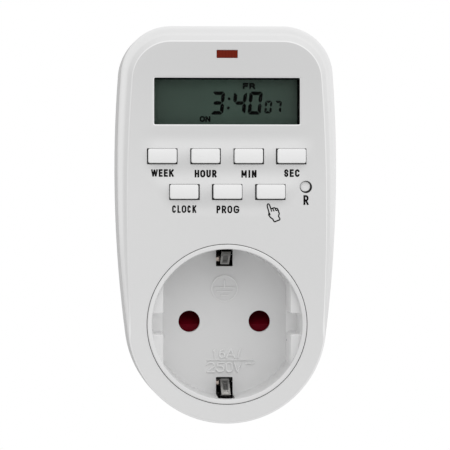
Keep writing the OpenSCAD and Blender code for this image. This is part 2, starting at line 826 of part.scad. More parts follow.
module live_in_wire() {
    color([0.45, 0.26, 0.12]) mains_wire([[-12, 33, 7.22], [-12, 32.9, 9.5], [-12.2, 32, 14], [-12.8, 30.2, 20],
        [-13.5, 29, 25.5], [-13.5, 30, 29], [-13.5, 31.5, 30], [-13.5, 32.9, 30]]);
}

module live_out_wire() {
    color([0.12, 0.12, 0.12]) mains_wire([[-6.9, 33, 8.52], [-6.9, 32.9, 10.5], [-7, 32, 14.5], [-7.4, 30.2, 20],
        [-8, 29, 25.5], [-8, 30, 29], [-8, 31.5, 30], [-8, 32.9, 30]]);
}

module neutral_wire() {
    color([0.15, 0.30, 0.65]) mains_wire([[6.9, 33, 8.52], [6.9, 32.9, 10.5], [6.8, 32, 14.5], [6, 30.2, 20],
        [5, 29, 25.5], [5, 30, 29], [5, 31.5, 30], [5, 32.9, 30]]);
}

// ---------------------------------------------------------------- plug and contacts

pin_seat_r = 2.7;
pin_head_t = 1.4;
pin_tail_r = 1.5;

// Turned pin with a head and a rivet tail on the inside
module plug_pin(x, tail_depth) {
    r = pin_d / 2;
    tip_r = r - 0.2;
    tip = boss_end + pin_length;
    color(nickel) translate([x, at(0), 0]) rotate([-90, 0, 0]) rotate_extrude() polygon(concat(
        [[0, tail_depth], [pin_tail_r, tail_depth], [pin_tail_r, pin_head_depth],
         [3.4, pin_head_depth], [3.4, pin_head_depth + pin_head_t],
         [pin_seat_r, pin_head_depth + pin_head_t], [pin_seat_r, boss_end - 0.1], [r, boss_end - 0.1]],
        [for (a = [0 : 15 : 75]) [0.2 + tip_r * cos(a), tip - tip_r + tip_r * sin(a)]],
        [[0, tip]]));
}

module live_pin() { plug_pin(-pin_x, 38.9); }
module neutral_pin() { plug_pin(pin_x, 35.6); }

clip_base = [36.2, 36.9]; // front and back of a contact's base
clip_w = 6.6;
clip_h = 5.4;
// Sprung brass contact: two leaves that grip a pin from the left and the right, and a wire tab
module contact_clip(x, spot) {
    leaf_t = 0.6;
    mouth = 28.4;
    color(brass) difference() {
        union() {
            plate(x, 0, clip_w, clip_h, clip_base[0], clip_base[1]);
            for (side = [-1, 1])
                translate([x, 0, -clip_h / 2]) linear_extrude(height = clip_h) polygon([
                    for (p = [[3.3, 36.9], [2.3, 32], [2.8, mouth], [3.4, mouth], [2.9, 32], [3.3, 35]])
                        [side * p[0], at(p[1])]]);
            plate(spot, (clip_h / 2 + 8.5) / 2 - overlap, tab_w, 8.5 - clip_h / 2 + 2 * overlap,
                  clip_base[0], clip_base[1]);
            plate(spot, 8.2, tab_w, 0.6, 31.5, clip_base[1]);
        }
        rod([x, 0], pin_tail_r + 0.05, 35, 38);
    }
}

module live_contact() { contact_clip(-pin_x, -tab_x); }
module neutral_contact() { contact_clip(pin_x, tab_x); }

// Brass strip from the live pin's tail to the live wire
strip_depth = [39.02, 39.58];
tab_w = 2.4;
tab_x = 6.9;
module live_strip() {
    color(brass) difference() {
        union() {
            plate(-pin_x, 0, 6, 6, strip_depth[0], strip_depth[1]);
            plate(-12, 3.4, tab_w, 7.6, strip_depth[0], strip_depth[1]);
            plate(-12, 6.9, tab_w, 0.6, 31.7, strip_depth[1]);
        }
        rod([-pin_x, 0], pin_tail_r + 0.05, 38, 41);
    }
}

module contact_carrier() {
    disc_r = 16.2;
    pocket = [clip_w + 1, clip_h + 1];
    pocket_wall = 1;
    pocket_front = 28.2;
    color(inner_plastic) difference() {
        union() {
            slab(carrier_depth, carrier_depth + carrier_t - 0.05) boss_inside(disc_r);
            for (x = [-pin_x, pin_x])
                plate(x, 0, pocket.x + 2 * pocket_wall, pocket.y + 2 * pocket_wall, pocket_front, carrier_depth + overlap);
        }
        for (x = [-pin_x, pin_x]) {
            plate(x, 0, pocket.x, pocket.y, pocket_front - 1, carrier_depth);
            rod([x, 0], pin_tail_r + 0.15, carrier_depth - 1, carrier_depth + carrier_t + 1);
        }
        // Ways out for the contacts' tabs
        for (side = [-1, 1]) plate(side * tab_x, 4.2, tab_w + 0.6, 3, 35.4, carrier_depth);
        // Way through for the live strip
        plate(-12, 6.9, tab_w + 0.6, 1.2, carrier_depth - 1, carrier_depth + carrier_t + 1);
        for (place = carrier_screw_places) rod(place, small_screw_r + 0.15, carrier_depth - 1, carrier_depth + carrier_t + 1);
    }
}

module carrier_screws() {
    color(steel) for (place = carrier_screw_places)
        screw(place, bridge_depth - 1.4, 7, small_head_r, small_screw_r, towards = 1);
}

strap_w = 6;
tongue_w = 2.6;
strap_t = 0.6;
strap_mid_z = 19.9;
strap_back_z = 18.1;
bridge_depth = 36.2;

// Earth contact: a sprung tongue in the socket and a plain strip along the plug body, in one piece.
// Points are depth and Z. The tongue slants in from its tip to its nose, where it presses the plug.
tongue_tip = [5.8, 19.1];
tongue_nose = [14.6, 16.1];
module earth_strap(side) {
    nose_bend = [[16, 15.75], [17.4, 16.1], [19, 17.6], [20.4, 19], [21.6, 19.7], [22.6, strap_mid_z]];
    body = [[21.6, strap_mid_z], [33.2, strap_mid_z], [35.4, strap_back_z], [54, strap_back_z]];
    slant = atan2(tongue_tip[1] - tongue_nose[1], tongue_nose[0] - tongue_tip[0]);
    middle = (tongue_tip + tongue_nose) / 2;
    color(nickel) mirror([0, 0, side < 0 ? 1 : 0]) union() {
        strip_across(0, tongue_w) ribbon_profile(concat([tongue_tip, tongue_nose], nose_bend), strap_t);
        strip_across(0, strap_w) ribbon_profile(body, strap_t);
        // Pressed panel that stiffens the tongue
        translate([0, at(middle[0]), middle[1]]) rotate([-slant, 0, 0]) translate([0, 0, -strap_t / 2])
            cube([1.5, 6.4, 0.36], center = true);
    }
}

// A strip of even thickness along a line of points in depth and Z
module ribbon_profile(p, t) {
    n = len(p);
    normals = [for (i = [0 : n - 1])
        let (along = unit(p[min(i + 1, n - 1)] - p[max(i - 1, 0)])) [-along.y, along.x]];
    polygon(concat([for (i = [0 : n - 1]) p[i] + normals[i] * t / 2],
                   [for (i = [n - 1 : -1 : 0]) p[i] - normals[i] * t / 2]));
}

module earth_strap_upper() { earth_strap(1); }
module earth_strap_lower() { earth_strap(-1); }

// Joins the two earth straps. A lug on it stands beside each tongue.
module earth_bridge() {
    reach = strap_back_z - strap_t / 2;
    color(brass) difference() {
        union() {
            plate(0, 0, 4, 2 * reach, bridge_depth, bridge_depth + 0.7);
            for (side = [-1, 1]) plate(-1.8, side * 16.9, 0.8, 1.2, 20.2, bridge_depth + 0.7);
        }
        for (place = carrier_screw_places) rod(place, small_screw_r + 0.15, 35, 38);
    }
}

module cover_screws() {
    color(steel) for (place = cover_screw_places)
        screw(place, cover_depth + cover_t + 1.4, 14, small_head_r, small_screw_r);
}

module socket_screws() {
    color(steel) for (place = socket_screw_places) screw(place, ear_depth + ear_t + 1.4, 5, small_head_r, small_screw_r);
}

module housing_screws() {
    color(steel) for (place = housing_screw_places)
        screw(place, counterbore_depth + 1.4, 18, housing_head_r, housing_screw_r);
}

// ---------------------------------------------------------------- nodes

front_housing();
rear_housing();
socket_insert();
socket_floor();
display_window();
indicator_lens();
key_week();
key_hour();
key_minute();
key_second();
key_clock();
key_program();
key_manual();
reset_button();
keypad_mat();
contact_pills();
display_holder();
display_glass();
zebra_strip();
control_board();
controller_chip();
clock_crystal();
backup_cell();
indicator_lamp();
board_screws();
power_board();
relay();
mains_capacitor();
smoothing_capacitor();
rectifier_diodes();
surge_disc();
dropper_resistor();
power_board_screws();
ribbon_cable();
live_in_wire();
live_out_wire();
neutral_wire();
live_pin();
neutral_pin();
live_strip();
live_contact();
neutral_contact();
contact_carrier();
carrier_screws();
earth_strap_upper();
earth_strap_lower();
earth_bridge();
shutter();
shutter_spring();
shutter_cover();
cover_screws();
socket_screws();
housing_screws();
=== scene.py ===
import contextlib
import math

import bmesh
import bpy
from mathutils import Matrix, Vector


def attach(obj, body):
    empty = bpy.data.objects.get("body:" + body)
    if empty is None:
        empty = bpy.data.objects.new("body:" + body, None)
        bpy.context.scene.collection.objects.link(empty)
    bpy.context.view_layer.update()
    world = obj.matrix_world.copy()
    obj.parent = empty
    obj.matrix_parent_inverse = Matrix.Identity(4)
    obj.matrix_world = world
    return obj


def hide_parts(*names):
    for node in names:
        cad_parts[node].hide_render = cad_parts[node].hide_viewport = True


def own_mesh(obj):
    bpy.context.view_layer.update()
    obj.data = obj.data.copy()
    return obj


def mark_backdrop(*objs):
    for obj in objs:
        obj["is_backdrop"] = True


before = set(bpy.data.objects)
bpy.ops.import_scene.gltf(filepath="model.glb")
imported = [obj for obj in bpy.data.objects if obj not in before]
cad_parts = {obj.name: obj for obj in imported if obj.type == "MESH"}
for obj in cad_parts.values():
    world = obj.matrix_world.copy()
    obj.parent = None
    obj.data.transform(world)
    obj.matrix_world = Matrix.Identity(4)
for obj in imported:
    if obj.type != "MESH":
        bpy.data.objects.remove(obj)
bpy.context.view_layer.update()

# %% [markdown]
# # A plug-in timer switch, built piece by piece
# This switch sits in a wall socket and has a socket of its own on its front. A small clock turns
# that socket on and off. The solids of the part are loaded above as a fixed frame. Each visible
# piece is modelled again here with its rounded edges and fine detail, and each piece inside
# keeps its solid and gets a finish. All sizes are written in millimetres, as on a drawing, and
# one function turns them into metres.

MM = 0.001
PLUG_END = 55.5  # depth of the plug's end face behind the front face


def place(x, depth, z):
    """A point in metres, from millimetres across, behind the front face, and up."""
    return Vector((x, depth - PLUG_END, z)) * MM


# %% [markdown]
# ## Camera
# The camera stands a little to the left of the switch and slightly above the socket's axis,
# about 65 cm in front of it. A long lens from there keeps the sides nearly parallel, as in a
# catalogue picture. It could also be aimed with a Track To constraint, but two plain angles are
# easier to check.

# %% Camera
CAMERA_SPOT, LENS_MM, SENSOR_MM = (-29, -648, 31), 196.96, 36
pan, tilt = math.radians(2.512), math.radians(0.426)
bpy.ops.object.select_all(action="DESELECT")
bpy.ops.object.camera_add(location=place(*CAMERA_SPOT), rotation=(math.pi / 2 - tilt, 0, -pan))
camera = bpy.context.object
camera.data.lens = LENS_MM
camera.data.sensor_width = SENSOR_MM
camera.data.clip_start, camera.data.clip_end = 0.01, 20
bpy.context.scene.camera = camera
print("camera", tuple(round(v, 4) for v in camera.location), camera.data.lens, "mm lens")

# %% [markdown]
# ## Light
# A product on white is lit by a big soft lamp, here above the camera and a little to the right,
# with a weak one at the right and an even pale surround. The surround is white for the camera,
# for reflections and for clear plastic, and dimmer for lighting, so a white background doesn't
# wash out the white plastic. The floor lies well below, out of the picture, and catches the
# shadow in views from above.

# %% Lamps
MIDDLE = Vector((0, -0.04, 0.03))


def softbox(name, spot, width, power):
    """A square lamp that faces the middle of the switch."""
    bpy.ops.object.light_add(type="AREA", location=spot)
    lamp = bpy.context.object
    lamp.name = name
    lamp.data.shape = "SQUARE"
    lamp.data.size = width
    lamp.data.energy = power
    aim = MIDDLE - lamp.location
    lamp.rotation_euler = aim.to_track_quat("-Z", "Y").to_euler()


softbox("key_lamp", (0.1, -0.8, 0.8), 1.2, 4.5)
softbox("side_lamp", (0.7, -0.55, 0.1), 0.5, 0.55)

# %% Surround and floor
AMBIENT = 0.61
world = bpy.data.worlds.new("surround")
bpy.context.scene.world = world
world.use_nodes = True
tree = world.node_tree
ray = tree.nodes.new("ShaderNodeLightPath").outputs


def world_sum(operation, *values):
    """A Math node of the surround, fed with sockets and numbers."""
    made = tree.nodes.new("ShaderNodeMath")
    made.operation = operation
    for socket, value in zip(made.inputs, values):
        if isinstance(value, float):
            socket.default_value = value
        else:
            tree.links.new(value, socket)
    return made.outputs[0]


seen = world_sum("MAXIMUM", ray["Is Camera Ray"], ray["Is Glossy Ray"])
clear = world_sum("MAXIMUM", seen, ray["Is Transmission Ray"])
strength = world_sum("MULTIPLY_ADD", clear, 1 - AMBIENT, AMBIENT)
light = tree.nodes["Background"].inputs
light["Color"].default_value = (1, 1, 1, 1)
tree.links.new(strength, light["Strength"])
bpy.context.scene.view_settings.view_transform = "Standard"

FLOOR_SIZE, FLOOR_Z = 3, -0.35
bpy.ops.mesh.primitive_plane_add(size=FLOOR_SIZE, location=(0, 0, FLOOR_Z))
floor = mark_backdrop(bpy.context.object) or bpy.context.object
floor.name = "floor"
print("surround at", AMBIENT, "for lighting; floor at", FLOOR_Z, "m")

# %% [markdown]
# ## Modelling helpers
# Nearly every moulded part here is a flat outline that is pushed through a few depths, growing
# or shrinking a little at each one: that is how a rounded edge, a chamfer or a step comes about.
# By hand this is one face, extruded and scaled again and again. The helper below does the same
# with the extrude operator, and puts each new ring of corners where the drawing says.


# %% Outlines
def arc(centre, radius, start, end, steps):
    """Points on an arc, with angles in degrees."""
    angles = [math.radians(start + (end - start) * k / steps) for k in range(steps + 1)]
    return [(centre[0] + radius * math.cos(a), centre[1] + radius * math.sin(a)) for a in angles]


def circle(radius, sides=96, centre=(0, 0)):
    return arc(centre, radius, 0, 360, sides)[:-1]


def box_outline(width, height, centre=(0, 0)):
    x, z, w, h = *centre, width / 2, height / 2
    return [(x - w, z - h), (x + w, z - h), (x + w, z + h), (x - w, z + h)]


NEARLY_STRAIGHT = math.radians(158)


def rounded(points, radius, steps=5):
    """The outline with each sharp corner turned into an arc."""
    made = []
    for k, point in enumerate(points):
        here = Vector(point)
        back = (Vector(points[k - 1]) - here).normalized()
        ahead = (Vector(points[(k + 1) % len(points)]) - here).normalized()
        opening = back.angle(ahead)
        if opening > NEARLY_STRAIGHT:
            made.append(point)
            continue
        centre = here + (back + ahead).normalized() * radius / math.sin(opening / 2)
        reach = radius / math.tan(opening / 2)
        first, last = here + back * reach - centre, here + ahead * reach - centre
        for step in range(steps + 1):
            spoke = first.slerp(last, step / steps) * radius  # slerp gives unit vectors
            made.append(tuple(centre + spoke))
    return made


def grown(points, grow):
    """The outline moved outwards by grow. Its points run anticlockwise, seen from the front."""
    made = []
    for k, (x, z) in enumerate(points):
        first = (Vector((x, z)) - Vector(points[k - 1])).normalized()
        second = (Vector(points[(k + 1) % len(points)]) - Vector((x, z))).normalized()
        along = (first + second).normalized()
        reach = grow / max(0.4, along.dot(first))
        made.append((x + along.y * reach, z - along.x * reach))
    for k, point in enumerate(made):
        before, now = Vector(points[k]) - Vector(points[k - 1]), Vector(point) - Vector(made[k - 1])
        if before.dot(now) < 0:
            raise ValueError("the outline folds over itself: its corners are too tight to shrink")
    return made


print("a rounded box has", len(rounded(box_outline(4, 2), 0.5)), "points")


# %% Selecting pieces, and edit mode
def pick_nothing():
    if bpy.context.object and bpy.context.object.mode != "OBJECT":
        bpy.ops.object.mode_set(mode="OBJECT")
    bpy.ops.object.select_all(action="DESELECT")


def pick(*pieces):
    """Selects these objects alone and makes the first one active."""
    pick_nothing()
    for piece in pieces:
        piece.select_set(True)
    bpy.context.view_layer.objects.active = pieces[0]


@contextlib.contextmanager
def editing(piece):
    """Edit mode on one piece with all of it selected, then object mode again."""
    pick(piece)
    bpy.ops.object.mode_set(mode="EDIT")
    bpy.ops.mesh.select_all(action="SELECT")
    yield
    bpy.ops.object.mode_set(mode="OBJECT")


def face_outwards():
    bpy.ops.mesh.select_all(action="SELECT")
    bpy.ops.mesh.normals_make_consistent(inside=False)


pick_nothing()
print("selected:", len(bpy.context.selected_objects), "pieces")


# %% Solids from rings of points
def loft(name, rings):
    """Extrudes one face through rings of points, and closes both ends."""
    pick_nothing()
    bpy.ops.mesh.primitive_circle_add(vertices=len(rings[0]), radius=MM, fill_type="NGON")
    piece = bpy.context.object
    piece.name = piece.data.name = name
    for vertex, point in zip(piece.data.vertices, rings[0]):
        vertex.co = point
    with editing(piece):
        bpy.ops.mesh.select_mode(type="FACE")
        bpy.ops.mesh.select_all(action="SELECT")
        for before, ring in zip(rings, rings[1:]):
            bpy.ops.mesh.extrude_region_move()
            mesh = bmesh.from_edit_mesh(piece.data)
            corners = next(face for face in mesh.faces if face.select).verts[:]
            count = len(corners)
            start = min(range(count), key=lambda k: (before[k] - corners[0].co).length_squared)
            ahead, behind = [before[(start + way) % count] - corners[1].co for way in (1, -1)]
            way = 1 if ahead.length_squared <= behind.length_squared else -1
            for k, corner in enumerate(corners):
                corner.co = ring[(start + way * k) % count]
            bmesh.update_edit_mesh(piece.data)
        face_outwards()
    return piece


def ring_at(outline, depth, crown=None):
    """An outline at a depth. A crown adds its own depth at each point."""
    return [place(x, depth + (crown(x, z) if crown else 0), z) for x, z in outline]


def solid(name, outline, steps):
    """Pushes an outline through steps of (depth, growth)."""
    return loft(name, [ring_at(grown(outline, grow), depth) for depth, grow in steps])


def turned(name, steps, sides, centre=(0, 0)):
    """A round solid about an axis that runs back, through steps of (depth, radius)."""
    return loft(name, [ring_at(circle(r, sides, centre), depth) for depth, r in steps])


def round_over(face_depth, radius, into=1, bend=4):
    """Steps from the side of a solid round its edge to its end face.
    The solid lies behind the face where into is 1, and before it where into is -1."""
    return [
        (face_depth + into * radius * (1 - math.sin(a)), -radius * (1 - math.cos(a)))
        for a in [math.pi / 2 * k / bend for k in range(bend + 1)]
    ]


trial = solid("trial", box_outline(4, 2), round_over(0, 0.5)[::-1] + [(3, 0)])
print("trial block:", len(trial.data.polygons), "faces,", len(trial.data.vertices), "corners")
bpy.data.objects.remove(trial)

# %% [markdown]
# Holes are cut with a Boolean modifier. They could be cut by knife or left open while a shell is
# extruded, but a cutter is a solid like any other, so it is drawn with the same helpers. The
# exact solver is slower than the fast one and copes with faces that nearly touch.


# %% Cutting, joining and finishing
def join(pieces):
    """Makes one object of several."""
    pick(*pieces)
    if len(pieces) > 1:
        bpy.ops.object.join()
    return pieces[0]


def change(piece, kind, **settings):
    """Adds a modifier with these settings and applies it."""
    pick(piece)
    modifier = piece.modifiers.new("change", kind)
    for key, value in settings.items():
        setattr(modifier, key, value)
    bpy.ops.object.modifier_apply(modifier=modifier.name)


def boolean(piece, tools, operation="DIFFERENCE"):
    """Cuts tools out of a piece, or adds them to it, and clears them away."""
    tool = join(tools)
    change(piece, "BOOLEAN", object=tool, operation=operation, solver="EXACT")
    bpy.data.objects.remove(tool)


def tidy(piece):
    """Merges corners that a cut left on top of each other, and drops faces with no area."""
    with editing(piece):
        bpy.ops.mesh.remove_doubles(threshold=0.002 * MM)
        bpy.ops.mesh.dissolve_degenerate(threshold=0.001 * MM)


def smooth(piece, angle=32):
    """Shades curves smooth and keeps flat faces flat."""
    pick(piece)
    bpy.ops.object.shade_smooth_by_angle(angle=math.radians(angle))
    change(piece, "WEIGHTED_NORMAL", keep_sharp=True, weight=80)


def settle(piece, body, slot, finish, *nodes):
    """Gives a piece its finish and its body, and hides the solids that it stands for. The slot is
    not used.
    """
    piece.data.materials.clear()
    piece.data.materials.append(finish)
    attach(piece, body)
    if nodes:
        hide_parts(*nodes)
    print(f"{piece.name}: {len(piece.data.polygons)} faces")


trial = solid("trial", box_outline(4, 2), [(0, 0), (3, 0)])
boolean(trial, [turned("trial_hole", [(-1, 0.5), (4, 0.5)], 24)])
print("trial block with a hole:", len(trial.data.polygons), "faces")
bpy.data.objects.remove(trial)

# %% [markdown]
# ## Finishes
# A finish is a small network of shader nodes. Writing it as sums keeps it readable, so a thin
# wrapper stands for a node's output and lets + - * and abs add the Math nodes. Everything reads
# Object coordinates, which are metres here, so a noise scale of 2000 gives grain of about half
# a millimetre, and it stays put when a piece moves.


# %% A node's output as a value
class Value:
    """A node's output, on which sums can be written."""

    def __init__(self, finish, socket):
        self.finish, self.socket = finish, socket

    def __add__(self, other):
        return self.finish.math("ADD", self, other)

    def __sub__(self, other):
        return self.finish.math("SUBTRACT", self, other)

    def __rsub__(self, other):
        return self.finish.math("SUBTRACT", other, self)

    def __mul__(self, other):
        return self.finish.math("MULTIPLY", self, other)

    def __abs__(self):
        return self.finish.math("ABSOLUTE", self)

    __radd__, __rmul__ = __add__, __mul__


print("sums can be written with + - * and abs")

# %% [markdown]
# The second helper holds the material. All its nodes come from one method, which sets a node up
# and fills its sockets with values or links. The kinds that are used most have a short method of
# their own. All of this can be done in the shader editor too, but so many finishes would take
# long there.


# %% A finish and the methods that add its nodes
class Finish:
    """A material and the methods that add nodes to it."""

    def __init__(self, name):
        self.material = bpy.data.materials.new(name)
        self.material.use_nodes = True
        self.tree = self.material.node_tree
        self.shader = self.tree.nodes["Principled BSDF"]
        self.place = self.node("ShaderNodeTexCoord", {}, {}, "Object")

    def feed(self, socket, value):
        if isinstance(value, Value):
            self.tree.links.new(value.socket, socket)
        else:
            socket.default_value = value

    def node(self, kind, settings, sockets, output=0):
        made = self.tree.nodes.new(kind)
        for key, value in settings.items():
            setattr(made, key, value)
        for key, value in sockets.items():
            self.feed(made.inputs[key], value)
        return Value(self, made.outputs[output])

    def math(self, operation, *values):
        return self.node("ShaderNodeMath", {"operation": operation}, dict(enumerate(values)))

    def spot(self):
        """Where a point lies: across, behind the front face, and up."""
        sockets = {"Vector": self.place}
        x, y, z = [self.node("ShaderNodeSeparateXYZ", {}, sockets, axis) for axis in "XYZ"]
        return x, y + PLUG_END * MM, z

    def ramp(self, factor, stops):
        """Colours along a factor from 0 to 1, as pairs of a place and a colour."""
        made = self.node("ShaderNodeValToRGB", {}, {"Fac": factor})
        ramp = made.socket.node.color_ramp.elements
        while len(ramp) < len(stops):
            ramp.new(1)
        for element, (position, colour) in zip(ramp, stops):
            element.position, element.color = position, (*colour, 1)
        return made

    def noise(self, scale, detail=3, stretch=(1, 1, 1)):
        spread = self.node("ShaderNodeMapping", {}, {"Vector": self.place, "Scale": stretch})
        sockets = {"Vector": spread, "Scale": scale, "Detail": detail}
        return self.node("ShaderNodeTexNoise", {}, sockets)

    def waves(self, scale, profile="SIN"):
        """Stripes that run up, side by side."""
        settings = {"bands_direction": "X", "wave_profile": profile}
        sockets = {"Vector": self.place, "Scale": scale}
        return self.node("ShaderNodeTexWave", settings, sockets, "Fac")

    def mix(self, factor, first, second):
        """A colour between two others. A constant colour is three numbers."""
        first, second = [c if isinstance(c, Value) else (*c, 1) for c in (first, second)]
        sockets = {"Factor": factor, 6: first, 7: second}
        return self.node("ShaderNodeMix", {"data_type": "RGBA"}, sockets, 2)

    def bump(self, height, depth_mm):
        sockets = {"Strength": 1.0, "Distance": depth_mm * MM, "Height": height}
        return self.node("ShaderNodeBump", {}, sockets)

    def surface(self, **sockets):
        """Sets the main shader's sockets, written with _ for a space."""
        for key, value in sockets.items():
            self.feed(self.shader.inputs[key.replace("_", " ")], value)
        return self.material


def shade(colour, factor):
    return tuple(c * factor for c in colour)


print("white a tenth darker:", [round(c, 2) for c in shade((1, 1, 1), 0.9)])

# %% [markdown]
# Moulded plastic is never one flat colour. The mould is spark-eroded, which leaves a fine grain,
# the colour clouds a little where the melt flowed, and handled areas are a touch shinier. Fine
# noise drives the bump, and broad noise moves the colour and the roughness by a few per cent.


# %% Moulded plastic
def plastic(name, colour, rough, grain=0.010, grain_size=0.30, cloud=0.03, ior=1.5, painted_shading=None):
    """Moulded plastic. The grain's depth and size are in millimetres. The last argument, where
    given, is a function that paints light and shade into the tone."""
    f = Finish(name)
    flow = f.noise(55, 2)
    fine = f.noise(1000 / grain_size, 4)
    tone = f.mix(flow, shade(colour, 1 - cloud), shade(colour, 1 + cloud / 2))
    # light and shade painted into the colour, where a function for it is given
    if painted_shading:
        tone = painted_shading(f, tone, colour)
    return f.surface(
        Base_Color=tone,
        Roughness=(rough - 0.06) + flow * 0.08 + fine * 0.05,
        Normal=f.bump(fine, grain),
        IOR=ior,
    )


print("moulded plastic can be mixed")

# %% [markdown]
# Painted light and shade lie in known places: on edges, in openings, round the keys. They could
# be painted on a picture, but then every piece has to be unfolded first. Limits on a coordinate,
# each with a soft edge, are enough where a place ends at straight lines and circles.


# %% Limits on a coordinate
def beyond(way, limit, soft=0.2):
    """1 where a coordinate is beyond a limit in millimetres, 0 before it, with a soft edge."""
    sockets = {"Value": way, "From Min": (limit - soft) * MM, "From Max": limit * MM}
    return way.finish.node("ShaderNodeMapRange", {}, sockets)


def short_of(way, limit, soft=0.2):
    """1 where a coordinate is below a limit, 0 beyond it."""
    return 1 - beyond(way, limit, soft)


def grey(level):
    return (level, level, level)


def distance(x, z):
    """How far a point is from the socket's axis."""
    return x.finish.math("SQRT", x * x + z * z)


def edge_ramp(f, depth, levels):
    """Greys by depth. The levels' places run from 0 at the face to 1 at 4 mm behind it."""
    return f.ramp(depth * (1 / (4 * MM)), [(at, grey(level)) for at, level in levels])


print("limits and ramps by place are ready")

# %% [markdown]
# The housing is white, and light and shade are painted into its colour. Its large face is
# painted darker upwards and to the right, with painted shade below and beside the keys and
# painted light just above them. Its edges and the chamfers of its openings get painted
# highlights, and its sides and the walls of its openings get painted shade. These changes are so
# soft that lamps alone could give some of them, but tones by place leave the light even for all
# other pieces.

# %% Painted light and shade on the housing
KEYS_FOOT, KEYS_TOP, KEYS_SIDE, PALE_ROW, ROW_PITCH = 31.0, 53.0, 23.5, 47.0, 9.4
# Grey levels by depth: painted highlights on the face's edge and on the outer lip, then painted
# shade on the sides.
HOUSING_EDGE_SHADING = [
    (0.012, 0.92), (0.035, 0.92), (0.05, 0.79), (0.22, 0.79), (0.29, 0.86), (0.37, 0.86),
    (0.40, 0.50),
]


def housing_light_and_shade(f, tone, colour):
    """The raised face is matt and painted darker upwards and to the right, with painted shade
    below and beside the keys and painted light above them. Its edges and the chamfers of its
    openings get painted highlights. Its sides, the walls of its openings and the wall of the
    socket's hole get painted shade."""
    x, depth, z = f.spot()
    across = abs(x)
    wave = f.math("COSINE", (z - PALE_ROW * MM) * (2 * math.pi / ROW_PITCH / MM))
    near_keys = short_of(across - z * 0.6, -1.8, 4.0) * beyond(z, KEYS_FOOT, 3.0)
    near_keys = near_keys * short_of(z, KEYS_TOP, 5.0) * short_of(across, KEYS_SIDE, 5.0)
    # painted shade: darker upwards and to the right
    face = f.mix(beyond(z, 12.0, 30.0), grey(0.81), grey(0.785))
    face = f.mix(beyond(z, 68.0, 33.0), face, grey(0.715))
    face = f.mix(beyond(x, 0.0, 50.0) * 0.055, face, grey(0.0))
    # painted shade below and beside the keys, painted light just above them
    face = f.mix(near_keys, face, f.mix(wave * 0.5 + 0.5, grey(0.66), grey(0.81)))
    edges = edge_ramp(f, depth, HOUSING_EDGE_SHADING)
    edges = f.mix(beyond(depth, 37.0, 2.0), edges, tone)
    in_front = short_of(depth, 4.0)
    openings = in_front * short_of(across, 23.0) * beyond(z, 30.0) * short_of(z, 73.0)
    openings = openings * short_of(across + z, 90.0, 2.0)
    # painted shade on the walls of the socket's hole and of the small openings
    groove = in_front * short_of(distance(x, z), 21.6, 0.1) * beyond(depth, 0.14, 0.06)
    gap_shade = openings * beyond(depth - beyond(z, 50.0) * (0.38 * MM), 0.11, 0.03)
    # painted highlights on the chamfers of the openings
    shell = f.mix(short_of(depth, 0.05, 0.03), f.mix(openings, edges, grey(0.90)), face)
    return f.mix(gap_shade + groove, shell, shade(colour, 0.06))


print("the housing's edges have", len(HOUSING_EDGE_SHADING), "tones")

# %% [markdown]
# Light and shade are painted into the socket's colour: painted highlights on the inner edges of
# the side blocks, painted light on their walls, and painted shade on their faces, in the groove
# round the socket and in the two slots of its floor. One function marks the cup and its floor,
# so that both are painted alike. The metal and the cover behind the slots get painted shade in
# the same way, since bright metal there would shine through the narrow openings.

# %% Painted light and shade in the socket
# Grey levels by depth on the side blocks: painted shade on their faces, then a painted highlight on
# their inner edges.
BLOCK_EDGE_SHADING = [(0.2, 0.82), (0.28, 0.78), (0.31, 0.78), (0.33, 1.0), (0.40, 1.0), (0.48, 0.85)]


def socket_light_and_shade(f, tone, colour):
    """Painted highlights on the inner edges of the side blocks and painted light on their walls.
    Painted shade on the blocks' faces, more on the right, in the groove round the socket and in
    the two slots of the floor."""
    x, depth, z = f.spot()
    groove = beyond(distance(x, z), 21.0, 0.03) * beyond(depth, 0.3, 0.1)
    # painted shade on the right block's face
    right = beyond(x, 0.0) * short_of(depth, 1.27, 0.03)
    x, z = abs(x), abs(z)
    blocks = f.mix(right, edge_ramp(f, depth, BLOCK_EDGE_SHADING), grey(0.75))
    on_blocks = beyond(x, 16.7, 0.1) * short_of(depth, 2.0)
    walls = beyond(x, 16.75, 0.08) * beyond(depth, 1.9, 0.2)
    # painted shade in the slots of the floor
    slots = short_of(x, 2.6, 0.1) * beyond(z, 14.8, 0.1) * beyond(depth, 17.6, 0.06)
    tone = f.mix(walls, f.mix(on_blocks, tone, blocks), grey(0.96))
    return f.mix(slots + groove, tone, shade(colour, 0.08))


def shaded_below(limit):
    """Painted shade darkens what lies deeper than this in an opening."""
    def painted_shading(f, tone, colour):
        depth = f.spot()[1]
        return f.mix(beyond(depth, limit, 0.05), tone, shade(colour, 0.08))
    return painted_shading


print("the socket's blocks have", len(BLOCK_EDGE_SHADING), "tones")


# %% Painted shade on springs, cover and bridge
def spring_shade(f, tone, colour):
    """The sunk middle of an earth spring is painted darker. The upper spring gets painted shade of
    the rim, the lower one painted shade towards its deep end, and both turn near black deeper in."""
    x, depth, z = f.spot()
    middle = short_of(abs(x), 0.8, 0.15) * beyond(depth, 8.4, 0.3)
    middle = middle * short_of(depth, 14.6, 0.6)
    inside = short_of(depth, 24.0, 1.0)
    shaded = beyond(z, 1.0, 1.0) * (0.85 - beyond(depth, 8.9, 0.3) * 0.40)
    tone = f.mix(shaded * inside, f.mix(middle, tone, shade(colour, 0.16)), shade(colour, 0.1))
    lower_end = short_of(z, -1.0, 1.0) * beyond(depth, 13.5, 6.0) * inside
    tone = f.mix(lower_end * 0.75, tone, shade(colour, 0.1))
    return f.mix(beyond(depth, 16.4, 0.6) * inside, tone, shade(colour, 0.05))


